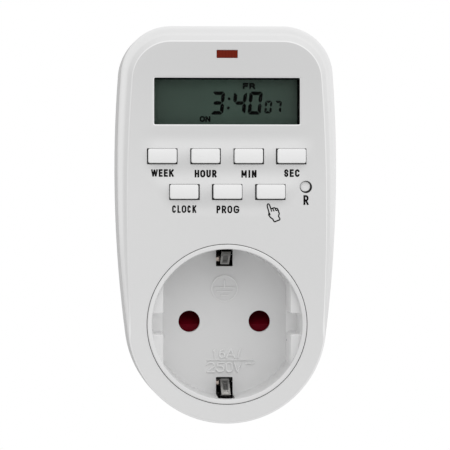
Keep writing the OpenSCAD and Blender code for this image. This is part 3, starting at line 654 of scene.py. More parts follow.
def shaded_cover_ends(f, tone, colour):
    """The ends of the shutter's cover that lie behind the earth springs get near-black painted
    shade.
    """
    x, _, z = f.spot()
    return f.mix(beyond(abs(z), 14.7) * short_of(abs(x), 4.5), tone, shade(colour, 0.03))


def shaded_bridge(f, tone, colour):
    """Painted shade darkens the earth bridge behind the slots, but for a band where the springs
    touch it.
    """
    x, _, z = f.spot()
    bare = beyond(abs(z), 15.85, 0.1) * short_of(abs(z), 17.3, 0.1)
    behind = beyond(abs(z), 14.6) * short_of(abs(x), 2.8)
    return f.mix(behind * (1 - bare), tone, shade(colour, 0.04))


# painted shade for the earth springs, the shutter's cover and the earth bridge
print("painted shade for metal and cover are ready")

# %% [markdown]
# With that, each plastic is one line: its colour, how rough it is, the depth and size of its
# grain, and the light and shade painted on it. Rubber is rough plastic with more clouding, and
# resin is smooth.

# %% Plastics and rubbers
# The functions given to the housing, socket, keys, reset button and carrier paint light and shade
# into their colour.
housing_white = plastic("housing_white", (0.80, 0.80, 0.80), 0.42, painted_shading=housing_light_and_shade)
socket_white = plastic("socket_white", (0.80, 0.80, 0.80), 0.36, grain=0.006, painted_shading=socket_light_and_shade)
# lighter than the socket's white: a painted highlight on the raised marks
mark_white = plastic("mark_white", (0.88, 0.88, 0.88), 0.25, grain=0.002)
key_white = plastic("key_white", (0.90, 0.90, 0.90), 0.34, grain=0.004, painted_shading=shaded_below(0.3))
reset_grey = plastic("reset_grey", (0.90, 0.90, 0.90), 0.40, grain=0.004, painted_shading=shaded_below(0.9))
carrier_plastic = plastic("carrier_plastic", (0.62, 0.62, 0.58), 0.5, grain=0.014, painted_shading=shaded_cover_ends)
black_plastic = plastic("black_plastic", (0.012, 0.012, 0.013), 0.5, grain=0.012)
guard_red = plastic("guard_red", (0.130, 0.001, 0.008), 0.34, grain=0.006, cloud=0.08, ior=1.12)
relay_blue = plastic("relay_blue", (0.012, 0.035, 0.14), 0.35, grain=0.006)
grey_rubber = plastic("grey_rubber", (0.24, 0.25, 0.27), 0.72, 0.02, grain_size=0.2, cloud=0.08)
carbon_rubber = plastic("carbon_rubber", (0.010, 0.010, 0.010), 0.85, grain=0.03, grain_size=0.12)
black_resin = plastic("black_resin", (0.009, 0.009, 0.009), 0.16, grain=0.02, grain_size=1.6)
capacitor_yellow = plastic("capacitor_yellow", (0.45, 0.30, 0.03), 0.3, grain=0.02, grain_size=0.9)
capacitor_sleeve = plastic("capacitor_sleeve", (0.008, 0.010, 0.028), 0.28, grain=0.006)
disc_blue = plastic("disc_blue", (0.010, 0.055, 0.30), 0.25, grain=0.03, grain_size=1.2)
wire_brown = plastic("wire_brown", (0.12, 0.045, 0.015), 0.38, grain=0.01)
wire_black = plastic("wire_black", (0.012, 0.012, 0.012), 0.38, grain=0.01)
wire_blue = plastic("wire_blue", (0.018, 0.07, 0.34), 0.38, grain=0.01)
ribbon_grey = plastic("ribbon_grey", (0.42, 0.42, 0.44), 0.45, grain=0.01)
legend_ink = plastic("legend_ink", (0.006, 0.006, 0.006), 0.6, grain=0.01, cloud=0.3, ior=1.1)
# black for the display's figures and words, and for the frame that paints the window's shadow on
# the cell
print_and_shadow_black = plastic("print_and_shadow_black", (0.0015, 0.0015, 0.0015), 0.5, grain=0.002, ior=1.05)
print("plastics and rubbers are mixed")

# %% [markdown]
# Metals are told apart by their colour and by the marks of how they were made: a plated pin is
# turned, so its marks run round it, and a strip is rolled, so they run along it. Stretching the
# noise along one axis gives those marks. Brass also darkens in soft patches.


# %% Metals
def metal(name, colour, rough, marks=(1, 1, 1), tarnish=0.15, painted_shading=None):
    """Metal with marks stretched along an axis and darker patches."""
    f = Finish(name)
    lines = f.noise(900, 3, marks)
    patch = f.noise(180, 3)
    tone = f.mix(patch * tarnish + lines * 0.08, colour, shade(colour, 0.45))
    # painted shade from the function given, where there is one
    if painted_shading:
        tone = painted_shading(f, tone, colour)
    return f.surface(
        Base_Color=tone,
        Metallic=1.0,
        Roughness=rough + (lines - 0.5) * 0.12 + patch * 0.08,
        Normal=f.bump(lines, 0.004),
    )


nickel = metal("nickel", (0.66, 0.64, 0.61), 0.20, marks=(0.25, 4, 0.25))
nickel_strip = metal("nickel_strip", (0.64, 0.63, 0.60), 0.26, marks=(4, 0.2, 0.2), painted_shading=spring_shade)
bronze = metal("bronze", (0.86, 0.74, 0.66), 0.30, tarnish=0.2, painted_shading=shaded_bridge)
brass = metal("brass", (0.72, 0.50, 0.20), 0.28, marks=(4, 0.3, 0.3), tarnish=0.4)
zinc_steel = metal("zinc_steel", (0.56, 0.57, 0.60), 0.33, tarnish=0.3)
tin = metal("tin", (0.68, 0.68, 0.69), 0.30, tarnish=0.2)
spring_steel = metal("spring_steel", (0.45, 0.45, 0.47), 0.24, tarnish=0.2)
print("metals are ready")

# %% [markdown]
# The display is a reflective liquid crystal cell: grey-green, a little darker towards its ends,
# with a satin front film. The clear window before it is thin, so it only dims what lies behind
# and adds a weak gloss. Alpha gives that without the noise of true refraction.

# %% Display and window
f = Finish("lcd_glass")
ends = abs(f.spot()[0] * (1 / (19 * MM)))
cloudy = f.noise(90, 2)
lcd_glass = f.surface(
    Base_Color=f.mix(
        ends * 0.5 + (cloudy - 0.5) * 0.5, (0.063, 0.098, 0.079), (0.058, 0.076, 0.064)
    ),
    Roughness=0.42 + cloudy * 0.06,
    Normal=f.bump(f.noise(500), 0.001),
    IOR=1.12,
)

f = Finish("clear_window")
haze = f.noise(300, 2)
clear_window = f.surface(
    Base_Color=f.mix(haze, (0.02, 0.022, 0.021), (0.03, 0.033, 0.031)),
    Roughness=0.05 + haze * 0.05,
    Alpha=0.05,
    IOR=1.06,
    Normal=f.bump(f.noise(60, 1), 0.004),
)
print("display and window finishes are ready")

# %% [markdown]
# The indicator's lens is red plastic with fine ribs that spread the lamp's light. The ribs could
# be modelled, but they are so fine that a wave pattern does the same: it drives both the colour
# and the bump. The lamp is off, so the lens is dark.

# %% Red lens
f = Finish("red_lens")
ribs = f.waves(380.0)
deep = f.noise(700, 2)
red_lens = f.surface(
    Base_Color=f.mix(ribs * 0.35 + deep * 0.3, (0.175, 0.017, 0.007), (0.12, 0.009, 0.004)),
    Roughness=0.22 + deep * 0.1,
    IOR=1.15,
    Normal=f.bump(ribs, 0.02),
)
print("the lens finish is ready")

# %% [markdown]
# A circuit board is glass cloth under green lacquer, and its copper tracks show through as paler
# lanes. They could come from a drawing of the tracks, but a brick pattern with long rows needs
# no picture. The rubber strip under the display has fine black stripes, which are a saw wave,
# and the resistor's coloured rings are a ramp along its length.

# %% Boards, striped rubber and resistor
f = Finish("board_green")
upright = {"Vector": f.place, "Rotation": (math.pi / 2, 0, 0)}
tracks = {
    "Vector": f.node("ShaderNodeMapping", {}, upright), "Scale": 260.0, "Mortar Size": 0.035,
    "Brick Width": 1.3, "Row Height": 0.4,
}
lanes = f.node("ShaderNodeTexBrick", {"offset": 0.37, "squash": 1.6}, tracks, "Fac")
weave = f.noise(2600, 2)
board_green = f.surface(
    Base_Color=f.mix(lanes * 0.8 + weave * 0.2, (0.010, 0.10, 0.035), (0.035, 0.20, 0.07)),
    Roughness=0.28 + weave * 0.14,
    Coat_Weight=0.4,
    Coat_Roughness=0.15,
    Normal=f.bump(lanes + weave * 0.2, 0.03),
)

f = Finish("zebra_rubber")
zebra_rubber = f.surface(
    Base_Color=f.mix(f.waves(900.0, "SAW"), (0.50, 0.47, 0.40), (0.02, 0.02, 0.02)),
    Roughness=0.6 + f.noise(900) * 0.1,
)

f = Finish("resistor_tan")
tan, brown, gold = (0.42, 0.30, 0.17), (0.10, 0.03, 0.01), (0.35, 0.20, 0.03)
bands = [
    (0.0, tan), (0.22, brown), (0.30, tan), (0.42, brown), (0.50, tan), (0.74, gold), (0.82, tan),
]
resistor_tan = f.surface(
    Base_Color=f.ramp((f.spot()[0] + 19 * MM) * (1 / (11 * MM)), bands),
    Roughness=0.35 + f.noise(500) * 0.12,
    Normal=f.bump(f.noise(700), 0.01),
)
print("board, rubber strip and resistor finishes are ready")

# %% [markdown]
# The floor is pale and matt, so it keeps the switch's shadow in views from above. One flat grey
# would do too, but very faint clouds keep so large a surface from looking empty.

# %% Floor finish
f = Finish("pale_floor")
speck = f.noise(40, 2)
floor.data.materials.append(
    f.surface(Base_Color=f.mix(speck, grey(0.82), grey(0.86)), Roughness=0.8)
)
print("floor:", FLOOR_SIZE, "m wide, with the finish", floor.data.materials[0].name)

# %% [markdown]
# ## Front housing
# The front housing is a shallow box with a raised face. Around the face runs a shoulder: at the
# top a slope drops to a narrow ledge before the rounded edge, and towards the round lower end
# the slope fades into that edge. A bevel can't do this, because its width and depth change on
# the way round. So the face is extruded ring by ring, and each point's depth comes from how
# much ledge there is at its height.

# %% Outline of the body and of the raised face
HALF_W, TOP, END_R, WIDEST, CORNER_R = 29.7, 79.4, 27.0, 41.0, 14.0
FACE = {"half_width": 26.1, "end_r": 25.15, "widest_z": 29.0, "corner_r": 10.0, "top_z": 74.25}
DRAFT, PARTING = 0.8, 20.0


def half_outline(half_width, end_r, widest_z, corner_r, top_z):
    """From the lowest point up the right side to the top: round end, bowed side, corner."""
    side_r = (widest_z**2 / (half_width - end_r) + half_width + end_r) / 2
    side = (half_width - side_r, widest_z)
    low = math.degrees(math.atan2(-side[1], -side[0]))
    corner_z = top_z - corner_r
    corner_x = side[0] + math.sqrt((side_r - corner_r) ** 2 - (corner_z - widest_z) ** 2)
    high = math.degrees(math.atan2(corner_z - widest_z, corner_x - side[0]))
    return (
        arc((0, 0), end_r, -90, low, 30)[:-1]
        + arc(side, side_r, low, high, 16)[:-1]
        + arc((corner_x, corner_z), corner_r, high, 90, 16)
    )


def mirrored(half):
    return half + [(-x, z) for x, z in half[:0:-1]]


def body_outline(inset=0.0):
    sizes = (HALF_W - inset, END_R - inset, WIDEST, CORNER_R - inset, TOP - inset)
    return mirrored(half_outline(*sizes))


def body_rings(steps):
    """The body's outline at steps of (depth, inset)."""
    return [ring_at(body_outline(inset), depth) for depth, inset in steps]


face_outline = mirrored(half_outline(**FACE))
print("body outline:", len(body_outline()), "points; face:", len(face_outline))

# %% Depth of the shoulder
LEDGE_DROP, LEDGE_TILT, EDGE_ROUND, SLOPE_END = 1.0, 0.2, 0.35, 0.54
LEDGE_FROM, LEDGE_RISE = -3.0, 38.0  # the ledge grows over this height


def clamp(t):
    return min(1.0, max(0.0, t))


def soft_ramp(t):
    """A straight line from 0 to 1 with rounded ends."""
    t, soft = clamp(t), 0.2
    scale = 2 * soft * (1 - soft)
    if t < soft:
        return t * t / scale
    if t < 1 - soft:
        return (t - soft / 2) / (1 - soft)
    return 1 - (1 - t) ** 2 / scale


def edge_start(share):
    """Where the rounded edge begins, from 0 at the face to 1 at the side."""
    return 0.35 + 0.43 * share


def shoulder_depth(s, share):
    """Depth of the shoulder at s, from 0 at the face to 1 at the side, for a share of ledge."""
    begin = edge_start(share)
    t = clamp((s - begin) / (1 - begin))
    ledge = share * (LEDGE_DROP * soft_ramp(s / SLOPE_END) + LEDGE_TILT * s)
    return ledge + EDGE_ROUND * (1 - math.sqrt(1 - t * t))


print("ledge depth at half way:", round(shoulder_depth(0.5, 1.0), 2), "mm")

# %% Front shell
slope_parts = [0, 0.04, 0.09, 0.14, 0.19, 0.3, 0.45, 0.6, 0.74, 0.79, 0.84, 0.89, 0.93, 1]
round_parts = [math.sin(math.radians(a)) for a in range(9, 91, 9)]
side_edge = body_outline(DRAFT)
shoulder = []
for part, turning in [(p, 0) for p in slope_parts] + [(1, t) for t in round_parts]:
    ring = []
    for (fx, fz), (ex, ez) in zip(face_outline, side_edge):
        share = math.sin(math.pi / 2 * clamp((fz - LEDGE_FROM) / LEDGE_RISE))
        begin = edge_start(share)
        s = begin * part + (1 - begin) * turning
        ring.append(place(fx + s * (ex - fx), shoulder_depth(s, share), fz + s * (ez - fz)))
    shoulder.append(ring)
shoulder += body_rings([(PARTING - 0.18, 0.0), (PARTING - 0.03, 0.1), (PARTING, 0.25)])
front_shell = loft("front_shell", shoulder)
print("front shell:", len(shoulder), "rings")

# %% [markdown]
# The openings are cut with solids that flare at the face, so each cut leaves its own small
# chamfer, as a mould does. One join makes a single tool of them all.

# %% Openings in the front housing
WINDOW = (0.0, 58.83, 38.45, 12.3)
LENS = (0.0, 71.22, 5.6, 2.15)
KEY_W, KEY_H, KEY_GAP, KEY_PITCH = 7.5, 3.8, 0.2, 11.4
UPPER_Z, LOWER_Z = 44.25, 34.85
key_spots = {
    "week": (-1.5 * KEY_PITCH, UPPER_Z),
    "hour": (-0.5 * KEY_PITCH, UPPER_Z),
    "minute": (0.5 * KEY_PITCH, UPPER_Z),
    "second": (1.5 * KEY_PITCH - 0.2, UPPER_Z),
    "clock": (0.15 - KEY_PITCH, LOWER_Z),
    "program": (0.0, LOWER_Z),
    "manual": (KEY_PITCH, LOWER_Z),
}
RESET_SPOT, RESET_R = (20.8, 36.2), 1.6
SOCKET_HOLE_R = 21.2
THROUGH = 4.0


def opening(outline, flare, lip=None):
    """A cutter for an opening whose edge is chamfered by flare."""
    lip = flare if lip is None else lip
    return solid("opening", outline, [(-1.5, flare + 0.02), (0, flare), (lip, 0), (THROUGH, 0)])


tools = [
    opening(rounded(box_outline(*WINDOW[2:], WINDOW[:2]), 0.35), 0.42, 0.35),
    opening(rounded(box_outline(*LENS[2:], LENS[:2]), 0.15), 0.12),
    opening(circle(RESET_R, 40, RESET_SPOT), 0.12),
    opening(circle(SOCKET_HOLE_R, 128), 0.10),
]
hole = rounded(box_outline(KEY_W + 2.7 * KEY_GAP, KEY_H + 2 * KEY_GAP), 0.12)
tools += [
    opening([(x + spot[0], z + spot[1]) for x, z in hole], 0.07) for spot in key_spots.values()
]
inside = [(2.2, 3.4), (2.32, 3.05), (2.7, 2.8), (18.3, 2.8), (18.3, 1.6), (21.0, 1.6)]
boolean(front_shell, [loft("cavity", body_rings(inside))])
boolean(front_shell, tools)
tidy(front_shell)
print("front shell after its cuts:", len(front_shell.data.polygons), "faces")

# %% [markdown]
# Posts for the screws stand on the inner side of the front wall. They could be united with the
# shell by a Boolean, but their feet are sunk in the wall, where nobody sees a seam, so a plain
# join is enough.


# %% Screw posts inside the front housing
def post(spot, outer_r, inner_r, foot, top, bore_end):
    """A round post with a blind hole in its top. The depths run from foot to top."""
    way = 1 if top > foot else -1
    steps = [
        (foot, outer_r), (top - way * 0.2, outer_r), (top, outer_r - 0.2),
        (top, inner_r + 0.15), (top - way * 0.15, inner_r), (bore_end, inner_r),
    ]
    return turned("post", steps, 32, spot)


HOUSING_SCREWS = [(-20, 70.5), (20, 70.5), (-23.3, 14.5), (23.3, 14.5)]
BOARD_SCREWS = [(-14, 71.6), (14, 71.6), (-23.5, 49), (23.5, 49), (-22.6, 29.6), (22.6, 29.6)]
SOCKET_SCREWS = [(-15.5, 20.5), (15.5, 20.5)]
POWER_SCREWS = [(-13, 71.5), (13, 71.5), (-21, 29.5), (21, 29.5)]
COVER_SCREWS, CARRIER_SCREWS = [(-17.6, -5), (17.6, -5)], [(0, -8), (0, 8)]
SKIN = 2.15  # where the posts begin, just inside the front wall
posts = [post(spot, 1.9, 0.9, SKIN, 7.5, 3.0) for spot in BOARD_SCREWS]
posts += [post(spot, 1.9, 0.9, SKIN, 6.2, 2.6) for spot in SOCKET_SCREWS]
posts += [post(spot, 2.7, 1.3, SKIN, 19.9, 8.0) for spot in HOUSING_SCREWS]
join([front_shell] + posts)
smooth(front_shell)
settle(front_shell, "root", "housing_white", housing_white, "front_housing")

# %% [markdown]
# ## Rear housing
# The rear half carries the round plug body. Its outline follows the front half down to the
# parting line, where both edges are eased, so that a fine groove runs round the switch. The
# plug body is a second outline, a circle with flats and ribs, that is pushed out of the back.
# Grooves for the earth strips, deep screw holes and a shallow label bed are cut afterwards.


# %% Outline of a plug
def plug_outline(radius, flat_x, rib, steps=20):
    """A circle with a flat at each side and a rib of half height rib in the middle of each flat."""
    flat_z = math.sqrt(radius**2 - flat_x**2)
    rib_angle = math.degrees(math.asin(rib / radius))
    flat_angle = math.degrees(math.atan2(flat_z, flat_x))
    right = [(flat_x, -flat_z), (flat_x, -rib)]
    right += arc((0, 0), radius, -rib_angle, rib_angle, 4)
    right += [(flat_x, rib), (flat_x, flat_z)]
    top = arc((0, 0), radius, flat_angle, 180 - flat_angle, 2 * steps)[1:-1]
    half = right + top
    return half + [(-x, -z) for x, z in half]


print("a plug outline has", len(plug_outline(19.5, 16.8, 2.8)), "points")

# %% Rear housing
DEPTH, BOSS_R, FLAT_X, RIB, PIN_X = 39.0, 18.5, 16.3, 2.4, 9.5
rear_steps = [(PARTING, 0.25), (PARTING + 0.03, 0.1), (PARTING + 0.18, 0.0)]
rear_steps += [(depth, 0.35 - grow) for depth, grow in round_over(DEPTH, 2.0, into=-1, bend=8)]
rear_shell = loft("rear_shell", body_rings(rear_steps))
boss = rounded(plug_outline(BOSS_R, FLAT_X, RIB), 0.8)
boss_steps = [(DEPTH - 0.5, 0.0)] + round_over(PLUG_END, 0.7, into=-1)
boolean(rear_shell, [solid("boss", boss, boss_steps)], "UNION")

PAST_BACK = 41.0  # where the cutters that open to the back end
inside = [(19.0, 2.6), (36.4, 2.6), (36.85, 2.9), (37.0, 3.4)]
boolean(rear_shell, [loft("cavity", body_rings(inside))])
tube = [(PARTING + 0.05, 3.2), (PARTING + 0.25, 3.4), (37.5, 3.4)]
bore = [(PARTING - 1, 1.5), (30.0, 1.5), (30.0, 2.5), (38.8, 2.5), (39.05, 2.75), (PAST_BACK, 2.8)]
posts, tools = [[turned(name, steps, 40, spot) for spot in HOUSING_SCREWS]
                for name, steps in [("post", tube), ("bore", bore)]]
boolean(rear_shell, posts, "UNION")
label_bed = rounded(box_outline(30, 34, (0, 46)), 1.5)
tools.append(solid("bed", label_bed, [(38.7, -0.12), (38.82, 0), (PAST_BACK, 0.02)]))
boolean(rear_shell, tools)

grooves = [(4.4, 19.8, 0.45, [(DEPTH - 0.4, 0.0), (54.0, 0.0), (54.4, -0.4)]),
           (1.0, 18.1, 0.2, [(36.0, 0.0), (PAST_BACK, 0.0)])]
for height, rise, corner_r, steps in grooves:
    boolean(rear_shell, [
        solid("groove", rounded(box_outline(6.3, height, (0, side * rise)), corner_r), steps)
        for side in (-1, 1)
    ])
seat = [(36.5, 2.73), (55.35, 2.73), (55.6, 3.0), (57, 3.1)]
boolean(rear_shell, [turned("seat", seat, 48, (x, 0)) for x in (-PIN_X, PIN_X)])
tidy(rear_shell)
posts = [post(spot, 2.2, 0.9, 37.2, 34.6, 36.6) for spot in POWER_SCREWS]
join([rear_shell] + posts)
smooth(rear_shell)
settle(rear_shell, "root", "housing_white", housing_white, "rear_housing")

# %% [markdown]
# ## Socket insert
# The socket is a cup that snaps in from behind. Its recess has the shape of a plug: a circle
# with a flat at each side and a notch in the middle of each flat. Pushing that outline through
# the depth of the cup and taking it away leaves the side blocks, and rounding the tool's edges
# leaves the fillets that moulded corners have. The rim stands a little proud and is rounded.

# %% Cup of the socket
RECESS_R, BLOCK_X, NOTCH, RECESS_DEPTH, FLOOR_BACK = 19.78, 16.8, 2.8, 17.5, 19.7
ROUND = 128  # sides of the large circles
cup_steps = [
    (-0.30, 20.70), (-0.28, 20.83), (-0.22, 20.93), (-0.10, 21.01), (0.08, 21.05), (0.40, 21.07),
    (2.2, 21.07), (2.2, 22.9), (3.8, 22.9), (3.8, 21.10), (19.5, 21.10), (19.7, 20.9),
]
socket_cup = turned("socket_cup", cup_steps, ROUND)
mouth = [
    (-1.5, 20.08), (-0.30, 20.06), (-0.28, 19.98), (-0.22, 19.90), (-0.12, 19.84), (0.05, 19.80),
    (0.3, 19.78), (1.10, 19.78), (1.2, 19.6),
]
boolean(socket_cup, [turned("mouth", mouth, ROUND)])
print("cup with its mouth:", len(socket_cup.data.polygons), "faces")

# %% Recess and slots
recess = rounded(plug_outline(RECESS_R, BLOCK_X, NOTCH, 30), 0.45)


def within(points, radius):
    """The outline with no point further out than radius."""
    return [(x * k, z * k) for x, z in points for k in [min(1, radius / math.hypot(x, z))]]


bowl = [
    (0.9, 0.28), (1.2, 0.28), (1.22, 0.18), (1.28, 0.09), (1.45, 0.0), (17.1, 0.0),
    (17.34, -0.08), (17.5, -0.22), (17.52, -0.22), (21.0, -0.22),
]
rings = [ring_at(within(grown(recess, grow), RECESS_R), depth) for depth, grow in bowl]
boolean(socket_cup, [loft("bowl", rings)])
boolean(socket_cup, [turned("seat", [(RECESS_DEPTH - 0.02, 20.3), (21.0, 20.3)], ROUND)])

HOLE_R, SLOT_W, SLOT_OUTER = 2.9, 4.5, 23.0


def earth_slots():
    """Cutters for the two openings beside the earth strips."""
    slots = []
    for side, inner in ((-1, 15.1), (1, 14.9)):
        centre = (0, side * (SLOT_OUTER + inner) / 2)
        shape = rounded(box_outline(SLOT_W, SLOT_OUTER - inner, centre), 0.15)
        slots.append(solid("slot", shape, [(2.5, 0.0), (22.0, 0.0)]))
    return slots


boolean(socket_cup, earth_slots())
tidy(socket_cup)
ears = [turned("ear", [(6.25, 2.2), (7.75, 2.2)], 40, spot) for spot in SOCKET_SCREWS]
join([socket_cup] + ears)
smooth(socket_cup, 36)
settle(socket_cup, "root", "socket_white", socket_white, "socket_insert")

# %% [markdown]
# The floor of the recess is a round plate that closes the cup. Its pin holes flare at the front,
# so that a pin finds its way in. Each hole could get that edge from a bevel, but a turned cutter
# with the flare on it makes hole and edge at once. Two posts behind it hold the shutter's cover.

# %% Socket floor
floor_steps = [
    (RECESS_DEPTH, 20.05), (RECESS_DEPTH + 0.15, 20.2), (FLOOR_BACK - 0.15, 20.2),
    (FLOOR_BACK, 20.05),
]
socket_floor = turned("socket_floor_plate", floor_steps, ROUND)
pin_hole = [(16.5, 3.1), (17.5, 3.03), (17.53, 2.97), (17.62, HOLE_R), (21, HOLE_R)]
tools = [turned("pin_hole", pin_hole, 56, (x, 0)) for x in (-PIN_X, PIN_X)]
boolean(socket_floor, tools + earth_slots())
tidy(socket_floor)
posts = [post(spot, 2.2, 0.95, FLOOR_BACK - 0.3, 26.4, FLOOR_BACK) for spot in COVER_SCREWS]
join([socket_floor] + posts)
smooth(socket_floor)
settle(socket_floor, "root", "socket_white", socket_white, "socket_floor")

# %% [markdown]
# ## Letters
# All lettering here is plain: strokes of even width. Each letter is a few lines in a box that
# runs from 0 to 1 across and up. A line gets its width by stepping half of it to both sides,
# and the outline is pushed out to the thickness of the mark. Each further line of a letter is
# a thousandth of a millimetre lower, so no two faces lie in the same plane. A Text object would
# be quicker, but its font has a style of its own, and plain strokes can be fitted one by one.


# %% Letters as lines
def oval(x, z, wide, high, start, end, steps=8):
    return [(x + wide * a, z + high * b) for a, b in arc((0, 0), 1, start, end, steps)]


OVER, UNDER = oval(0.5, 0.7, 0.5, 0.3, 0, 180), oval(0.5, 0.3, 0.5, 0.3, 180, 360)
STEM, SIDE = [(0, 0), (0, 1)], [(1, 0.3), (1, 0.7)]
BOWL = [(0, 1), (0.5, 1)] + oval(0.5, 0.73, 0.5, 0.27, 90, -90)[1:-1] + [(0.5, 0.46), (0, 0.46)]
LETTERS = {
    "A": [[(0, 0), (0.5, 1.05), (1, 0)], [(0.2, 0.3), (0.8, 0.3)]],
    "C": [oval(0.5, 0.7, 0.5, 0.3, 25, 180) + oval(0.5, 0.3, 0.5, 0.3, 180, 335)],
    "E": [[(1, 1), (0, 1), (0, 0), (1, 0)], [(0, 0.52), (0.9, 0.52)]],
    "F": [[(1, 1), (0, 1), (0, 0)], [(0, 0.5), (0.85, 0.5)]],
    "G": [oval(0.5, 0.7, 0.5, 0.3, 25, 180) + UNDER + [(1, 0.45), (0.55, 0.45)]],
    "H": [STEM, [(1, 0), (1, 1)], [(0, 0.5), (1, 0.5)]],
    "I": [STEM],
    "K": [STEM, [(1, 1), (0.1, 0.42)], [(0.38, 0.58), (1, 0)]],
    "L": [[(0, 1), (0, 0), (1, 0)]],
    "M": [[(0, 0), (0, 1.08), (0.5, 0.2), (1, 1.08), (1, 0)]],
    "N": [[(0, 0), (0, 1.06), (1, -0.06), (1, 1)]],
    "O": [OVER + UNDER, SIDE],
    "P": [STEM, BOWL],
    "R": [STEM, BOWL, [(0.5, 0.44), (1, 0)]],
    "S": [oval(0.5, 0.75, 0.5, 0.25, 10, 270) + oval(0.5, 0.25, 0.5, 0.25, 90, -170)[1:]],
    "U": [[(0, 1)] + UNDER + [(1, 1)]],
    "V": [[(0, 1), (0.5, -0.05), (1, 1)]],
    "W": [[(0, 1), (0.25, -0.08), (0.5, 1.08), (0.75, -0.08), (1, 1)]],
    "1": [[(0, 0.78), (0.8, 1), (0.8, 0)]],
    "2": [oval(0.5, 0.72, 0.5, 0.28, 170, -20) + [(0, 0), (1, 0)]],
    "5": [[(1, 1), (0.12, 1), (0.05, 0.6)] + oval(0.45, 0.32, 0.55, 0.32, 100, -160)],
    "6": [[(0.85, 1), (0.35, 0.85), (0.05, 0.55)] + UNDER, oval(0.5, 0.3, 0.5, 0.3, 0, 180)],
    "0": [OVER + UNDER, SIDE],
    "/": [[(0, 0), (1, 1)]],
    "~": [[(0, 0.2), (0.25, 0.8), (0.5, 0.5), (0.75, 0.2), (1, 0.8)]],
}
print(len(LETTERS), "letters, figures and signs are drawn")


# %% Strokes with a width
def ribbon(points, width):
    """The outline of an even stroke along points, with square ends that stand out by half."""
    spots = [Vector(p) for p in points]
    ways = [(b - a).normalized() for a, b in zip(spots, spots[1:])]
    spots[0], spots[-1] = spots[0] - ways[0] * width / 2, spots[-1] + ways[-1] * width / 2
    sides = [Vector((-way.y, way.x)) * width / 2 for way in ways]
    left, right = [spots[0] + sides[0]], [spots[0] - sides[0]]
    for spot, first, second in zip(spots[1:], sides, sides[1:]):
        mitre = (first + second) * (width / 2) ** 2 / ((width / 2) ** 2 + first.dot(second))
        if first.dot(second) > -0.1 * (width / 2) ** 2:
            left.append(spot + mitre)
            right.append(spot - mitre)
        elif first.cross(second) > 0:
            left.append(spot + mitre)
            right += [spot - first, spot - second]
        else:
            left += [spot + first, spot + second]
            right.append(spot - mitre)
    left.append(spots[-1] + sides[-1])
    right.append(spots[-1] - sides[-1])
    return left + right[::-1]


def lettering(name, text, spans, low, high, stroke, front, back, ease=0.0):
    """Letters between two heights. Spans holds the left and right end of each one in turn."""
    made = []
    for k, letter in enumerate(text):
        left, right = spans[2 * k] + stroke / 2, spans[2 * k + 1] - stroke / 2
        base, rise = low + stroke / 2, high - low - stroke
        width = stroke * (0.86 if letter in "MVW" else 1)
        for n, line in enumerate(LETTERS[letter]):
            path = [(left + x * (right - left), base + z * rise) for x, z in line]
            top, foot = ribbon(path, width - 2 * ease), ribbon(path, width)
            depths = [(foot, back), (foot, front + ease), (top, front)]
            rings = [ring_at(shape, depth + 0.001 * n) for shape, depth in depths]
            made.append(loft("stroke", rings if ease else rings[:2]))
    piece = join(made)
    piece.name = piece.data.name = name
    return piece


print("a straight stroke has", len(ribbon([(0, 0), (1, 0)], 0.2)), "corners")

# %% [markdown]
# The floor of the recess carries the earth sign and the rating, raised and polished, and their
# colour is a little lighter than the floor's: a painted highlight. The circle of the sign is a
# round solid whose two end faces are taken off and joined, and the edges of all marks are eased.


# %% Hoops
def bridge(piece, is_end):
    """Takes the two end faces off a solid and joins their edges, so that it becomes a hoop."""
    with editing(piece):
        mesh = bmesh.from_edit_mesh(piece.data)
        for face in mesh.faces:
            face.select = is_end(face)
        bmesh.update_edit_mesh(piece.data)
        bpy.ops.mesh.bridge_edge_loops()


def hoop(name, radius, width, centre, front, back, ease=0.05):
    """A flat ring: a circle pushed forwards, in, and back again, with its two ends bridged."""
    steps = [
        (back, radius), (front + ease, radius), (front, radius - ease),
        (front, radius - width + ease), (front + ease, radius - width), (back, radius - width),
    ]
    piece = turned(name, steps, 72, centre)
    bridge(piece, lambda face: len(face.verts) > 4)
    with editing(piece):
        face_outwards()
    return piece


trial = hoop("trial", 4, 1, (0, 0), 0, 2)
print("trial hoop:", len(trial.data.polygons), "faces")
bpy.data.objects.remove(trial)

# %% Marks on the recess floor
SIGN_X, SIGN_Z, SIGN_R, LINE_W, MARK = 0.06, 8.9, 3.65, 0.4, 0.42
mark_front, mark_back = RECESS_DEPTH - MARK, RECESS_DEPTH + 0.1
marks = [hoop("earth_sign", SIGN_R, LINE_W, (SIGN_X, SIGN_Z), mark_front, mark_back)]
sign_lines = [(LINE_W, 2.2, 1.35), (5.6, LINE_W, 0.2), (4.4, LINE_W, -0.85), (2.2, LINE_W, -1.9)]
for width, height, rise in sign_lines:
    line = rounded(box_outline(width, height, (SIGN_X, SIGN_Z + rise)), 0.12, 2)
    marks.append(solid("line", line, [(mark_front, -0.08), (mark_front + 0.08, 0), (mark_back, 0)]))
amps = (-3.1, -2.3, -1.5, 0.25, 0.4, 3.0, 3.5, 4.5)
volts = (-4.9, -2.5, -2.2, 0.05, 0.3, 2.3, 2.4, 4.7)
ratings = [
    ("amps", "16A/", amps, -10.05, -7.3, 0.42, 0.1),
    ("volts", "250V", volts, -13.9, -10.95, 0.42, 0.1),
    ("wave", "~", (5.7, 8.1), -11.9, -11.1, 0.3, 0.05),
]
for name, text, spans, low, high, stroke, ease in ratings:
    marks.append(lettering(name, text, spans, low, high, stroke, mark_front, mark_back, ease))
rule = box_outline(12.8, 0.26, (1.7, -10.5))
marks.append(solid("rule", rule, [(mark_front, -0.06), (mark_front + 0.08, 0), (mark_back, 0)]))
earth_sign = join(marks)
smooth(earth_sign)
settle(earth_sign, "root", "socket_white", mark_white)

